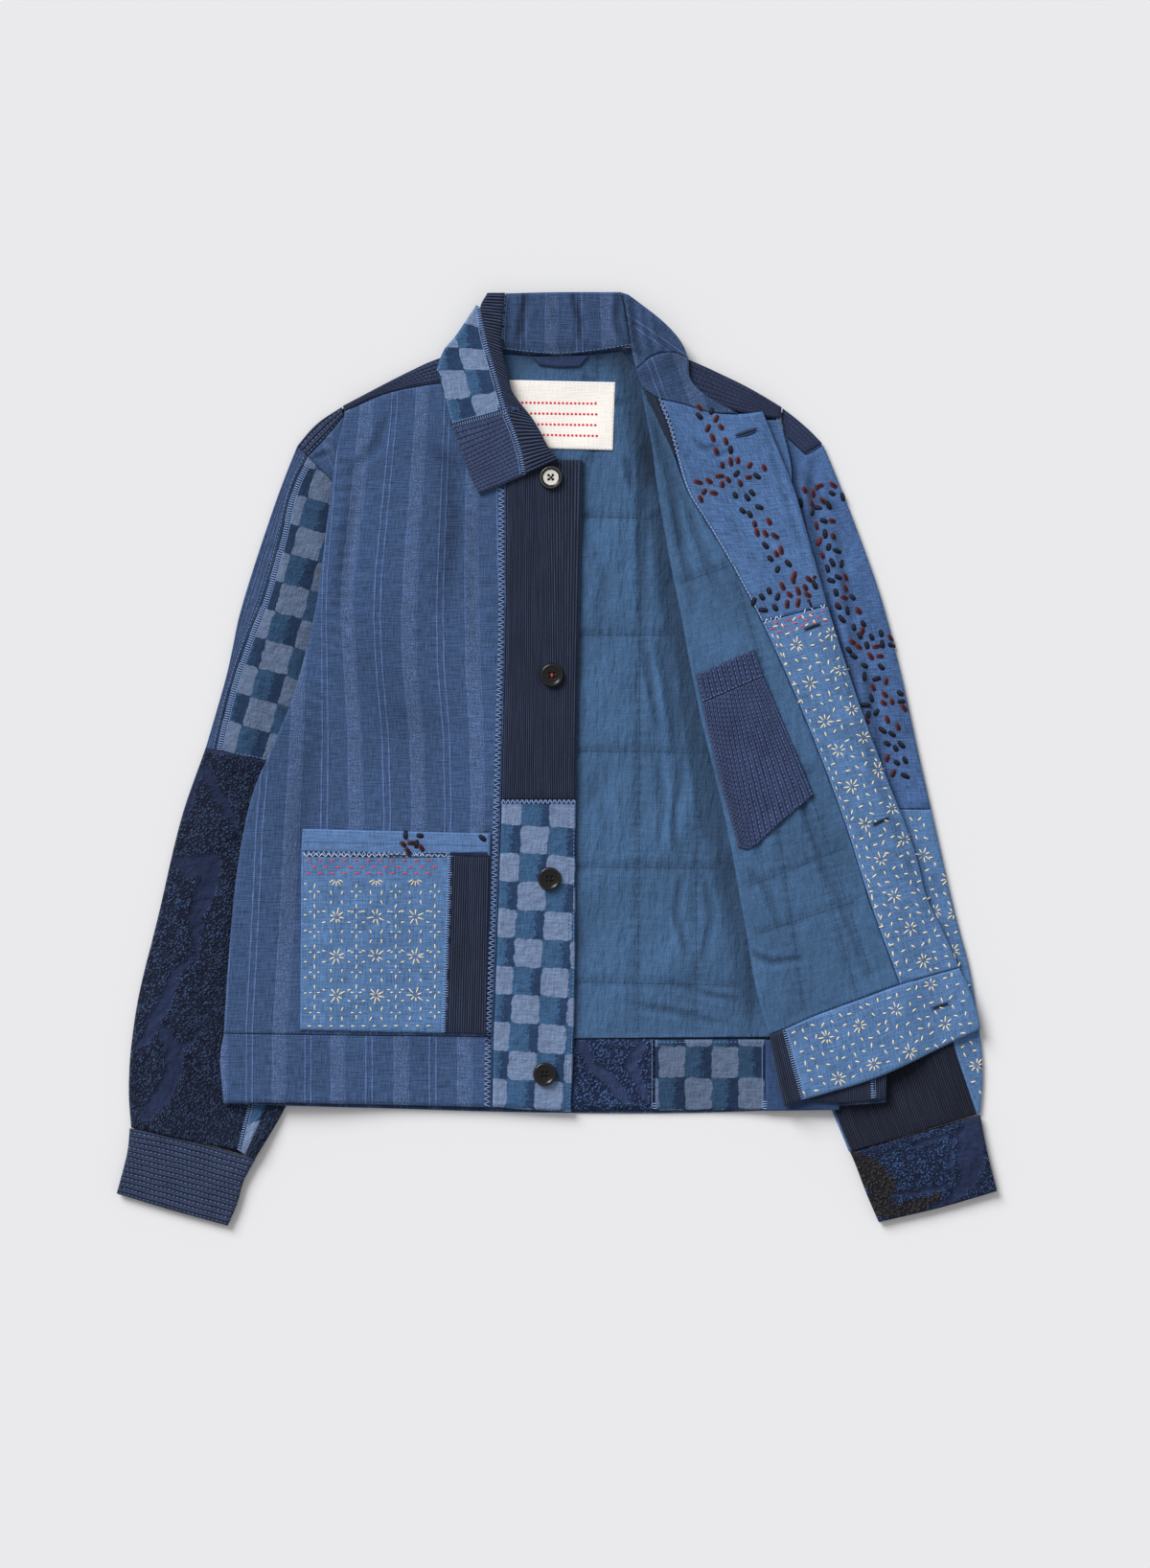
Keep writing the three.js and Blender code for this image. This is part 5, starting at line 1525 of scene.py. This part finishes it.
# %% Buttonholes
BUTTONHOLES = (  # piece, middle, turn in degrees, length and how wide the painted shadow is
    ("facing_plain", (158, 272), 18, 20, 6.5),
    ("facing_star", (213, 110), 20, 15, 3.0),
    ("facing_star", (270, -52), 22, 15, 4.0),
    ("hem_facing_star", (320, -206), 18, 16, 3.0),
)
for node, middle, degrees, length, gape in BUTTONHOLES:
    ahead = pointing(np.radians([degrees]))
    aside = left_of(ahead)
    half = ahead * length / 2
    # painted shadow where the slit gapes, and the dark slit itself, as flat beads of thread
    stitch(node, middle - half, middle + half, "deep", gape, 0.25)
    stitch(node, middle - half, middle + half, "black", 2.0, 0.4)
    places = middle + np.linspace(-1, 1, round(length / 0.9))[:, None] * half
    for way in (-1, 1):
        stitch(node, places + aside * way * 0.7, places + aside * way * 1.9, "ink", 0.7, 0.4)

# %% Label
for y, start, stop in ((298, -34, 34), (289, -30, 36), (280, -24, 34), (271, -16, 34)):
    running("label", [(start, y), (stop, y - 1)], "red", 3.4, 2.3, 2.2, 0.5)

report("label")

# %% All the sewing
stitched_pieces = {node: made for node, rows in work.items() if rows and (made := stitched(node))}
print(len(stitched_pieces), "pieces are stitched")

# %% [markdown]
# ## Buttons
# Turned from dark horn: a rolled rim, a shallow dish and four drilled holes. The profile is carried round,
# and the holes are a dent that depends on the distance to the nearest of four places. The top button has a
# pale dish, and the second one a dot of red thread. A thin lighter ring near each rim's top is a painted
# highlight.

# %% A turned button
DISH = 0.66  # the dish's share of the radius
FACE = [(r, 0.62 + 0.1 * (r / DISH) ** 4) for r in np.linspace(0, DISH, 26)]
RIM = [
    (0.70, 0.80), (0.74, 0.93), (0.80, 1.0), (0.88, 0.99), (0.95, 0.88), (0.99, 0.68), (1.0, 0.45),
    (0.97, 0.2), (0.9, 0.05), (0.8, 0.0), (0.4, 0.0), (0.0, 0.0),
]
HOLES = [(x, y) for x in (-1.75, 1.75) for y in (-1.75, 1.75)]  # mm from the middle
HOLE_DEEP, HOLE_RADIUS, HOLE_WALL = 1.6, 1.15, 0.35


# streaked pale horn: the pale dish's own colour, and the painted highlight ring on its rim
PALE_HORN_AND_RIM_HIGHLIGHT = (rgb(196, 192, 184), rgb(232, 230, 224))
# streaked lighter horn, only for the painted highlight ring on the dark buttons' rims
RIM_HIGHLIGHT_HORN = (rgb(70, 64, 56), rgb(96, 88, 78))


def horn(name, pale_dish):
    """Near-black horn, and streaked horn where the mesh says so: in the pale dish, and in a thin ring of
    painted highlight on the rim.
    """
    f = Finish(name)
    place = f.node("TexCoord", None, None, 3)
    streak = f.node("TexNoise", None, {"Vector": place, "Scale": 500.0, "Detail": 3.0})
    streaked = f.mix(streak, *(PALE_HORN_AND_RIM_HIGHLIGHT if pale_dish else RIM_HIGHLIGHT_HORN))
    colour = f.mix(f.attribute("pale"), rgb(13, 13, 15), streaked)
    return f.done(colour, roughness=0.25, specular=0.45)


def button(node, pale_dish, strands, thread):
    """A profile of (radius, height) carried round: dish with four holes, rim, side and flat back."""
    low, high = (np.array(corner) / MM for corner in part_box(node))
    centre, radius, height = (low + high) / 2, (high - low)[0] / 2, (high - low)[2]
    profile = np.array(FACE + RIM)
    turns = np.linspace(0, 2 * np.pi, 64, endpoint=False)
    x, y = profile[:, :1] * radius * np.cos(turns), profile[:, :1] * radius * np.sin(turns)
    hole = np.minimum.reduce([np.hypot(x - a, y - b) for a, b in HOLES])
    on_face = np.arange(len(profile))[:, None] < len(FACE)
    dent = HOLE_DEEP * np.clip((HOLE_RADIUS - hole) / HOLE_WALL, 0, 1)
    z = profile[:, 1:] * height - np.where(on_face, dent, 0)
    number = np.arange(x.size).reshape(x.shape)
    after = np.roll(number, -1, axis=1)
    quads = np.stack([number[:-1], number[1:], after[1:], after[:-1]], axis=-1).reshape(-1, 4)
    points = np.stack([x + centre[0], y + centre[1], z + low[2]], axis=-1).reshape(-1, 3)
    made = mesh_of(node + "_horn", points, quads, [horn(node + "_horn", pale_dish)])
    share = np.hypot(x, y) / radius
    # painted highlight: a thin lighter ring near the top of the rim
    ring = np.clip(1 - np.abs(share - 0.9) / 0.03, 0, 1) * 0.4
    inside = (share < DISH) * (hole > 1.1) * float(pale_dish)
    keep_numbers(made, "pale", np.where(on_face, inside, ring))
    weld = bmesh.new()
    weld.from_mesh(made.data)
    bmesh.ops.remove_doubles(weld, verts=weld.verts, dist=1e-6)
    weld.to_mesh(made.data)
    weld.free()
    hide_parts(node)
    hold(node, strands, THREAD[thread], (*centre[:2], low[2] + 0.68 * height))
    return made


def hold(node, strands, thread, middle):
    """The thread over a button's holes: a bead for each strand, from one (x, y) to another, both from the
    middle."""
    part = []
    for a, b in np.array(strands, float):
        long = np.append(b - a, 0)
        side = np.array([-long[1], long[0], 0]) / np.linalg.norm(long)
        place = middle + np.append((a + b) / 2, 0)
        part.append(place + BEAD[:, :1] * long + BEAD[:, 1:2] * side * 1.1 + BEAD[:, 2:] * [0, 0, 0.6])
    faces = np.concatenate([BEAD_FACES + k * len(BEAD) for k in range(len(part))])
    mesh_of(node + "_thread", np.concatenate(part), faces, [thread])


# %% The four buttons
CROSS = [[(-2, -2), (2, 2)], [(-2, 2), (2, -2)]]
DOT = [[(-1.2, 0), (1.2, 0)], [(-0.8, 0.9), (0.8, 0.9)], [(-0.8, -0.9), (0.8, -0.9)]]
buttons = [
    button("button_1", True, CROSS, "black"),
    button("button_2", False, DOT, "red"),
    button("button_3", False, CROSS, "black"),
    button("button_4", False, CROSS, "black"),
]
print(len(buttons), "buttons")

# %% [markdown]
# ## What each piece lies on
# Every cloth piece lies on what is under it. Its longest row and longest column are measured with its
# lattice, and here the area that the lattice covers is measured, because few of the pieces are
# rectangles. What it lies on is found from the heights: the nearest upper face below its own underside.

# %% Area, and what lies below
def area_of(lattice):
    """The area of a lattice in square metres: half the cross product of each cell's diagonals."""
    one = lattice[1:, 1:] - lattice[:-1, :-1]
    other = lattice[1:, :-1] - lattice[:-1, 1:]
    return float(np.linalg.norm(np.cross(one, other), axis=-1).sum() / 2 * MM**2)


LOWER_BY, ASIDE, ENOUGH = 0.8, 8, 0.12  # mm down and mm aside to look, and the share of the panel that counts


def lies_on(p):
    """Names of the pieces that are nearest below enough of the panel, or the table. Every third point of the
    other pieces is looked at."""
    points = p.lattice.reshape(-1, 3)
    best, name = np.zeros(len(points)), np.full(len(points), "table", object)
    for other in panels.values():
        if other is not p:
            x, y, z = other.top.reshape(-1, 3)[::3].T
            away = np.hypot(points[:, None, 0] - x, points[:, None, 1] - y)
            height = z[away.argmin(axis=1)]
            above = (away.min(axis=1) < ASIDE) & (height < points[:, 2] - LOWER_BY) & (height > best)
            best, name = np.where(above, height, best), np.where(above, other.piece.name, name)
    return [one for one in sorted(set(name)) if (name == one).mean() > ENOUGH]


for node, p in panels.items():
    area = area_of(p.lattice)
    with_pieces = [stitched_pieces[node]] if node in stitched_pieces else []
    lies_on(p)

# %% [markdown]
# ## Light, table and camera
# Cloth laid out flat is lit by a big soft source to one side and white walls, so that creases show and
# shadows stay pale. The camera looks straight down.

# %% Scene
TABLE_HALF = 30000  # mm, so far out that its edge is never in sight
WALLS, SUN, SUN_WIDTH, SUN_WAY = 0.42, 3.45, math.radians(30), (0.95, -1.25, -1.0)
CAMERA_AT, LENS, SENSOR = (0.0152, -0.0208, 3.644), 100, 36


def studio():
    """A pale table, a wide soft sun from the upper left, and an even white room."""
    corners = np.array([[-1, -1, 0], [1, -1, 0], [1, 1, 0], [-1, 1, 0]], float)
    paint = Finish("table_paint").done(rgb(233, 233, 235), roughness=1.0, specular=0.0)
    table = mesh_of("table", corners * TABLE_HALF, np.array([[0, 1, 2, 3]]), [paint])
    world = bpy.data.worlds.new("room")
    world.use_nodes = True
    world.node_tree.nodes["Background"].inputs["Color"].default_value = (1, 1, 1, 1)
    world.node_tree.nodes["Background"].inputs["Strength"].default_value = WALLS
    bpy.context.scene.world = world
    sun = bpy.data.lights.new("soft_light", "SUN")
    sun.energy, sun.angle = SUN, SUN_WIDTH
    lamp = bpy.data.objects.new("soft_light", sun)
    lamp.rotation_euler = Vector(SUN_WAY).to_track_quat("-Z", "Y").to_euler()
    bpy.context.scene.collection.objects.link(lamp)


def overhead():
    """A long lens straight above the jacket."""
    lens = bpy.data.cameras.new("overhead")
    lens.lens, lens.sensor_width = LENS, SENSOR
    camera = bpy.data.objects.new("overhead", lens)
    camera.location = CAMERA_AT
    bpy.context.scene.collection.objects.link(camera)
    bpy.context.scene.camera = camera


studio()
overhead()
bpy.context.scene.view_settings.view_transform = "Standard"
print("table, light and camera are set")
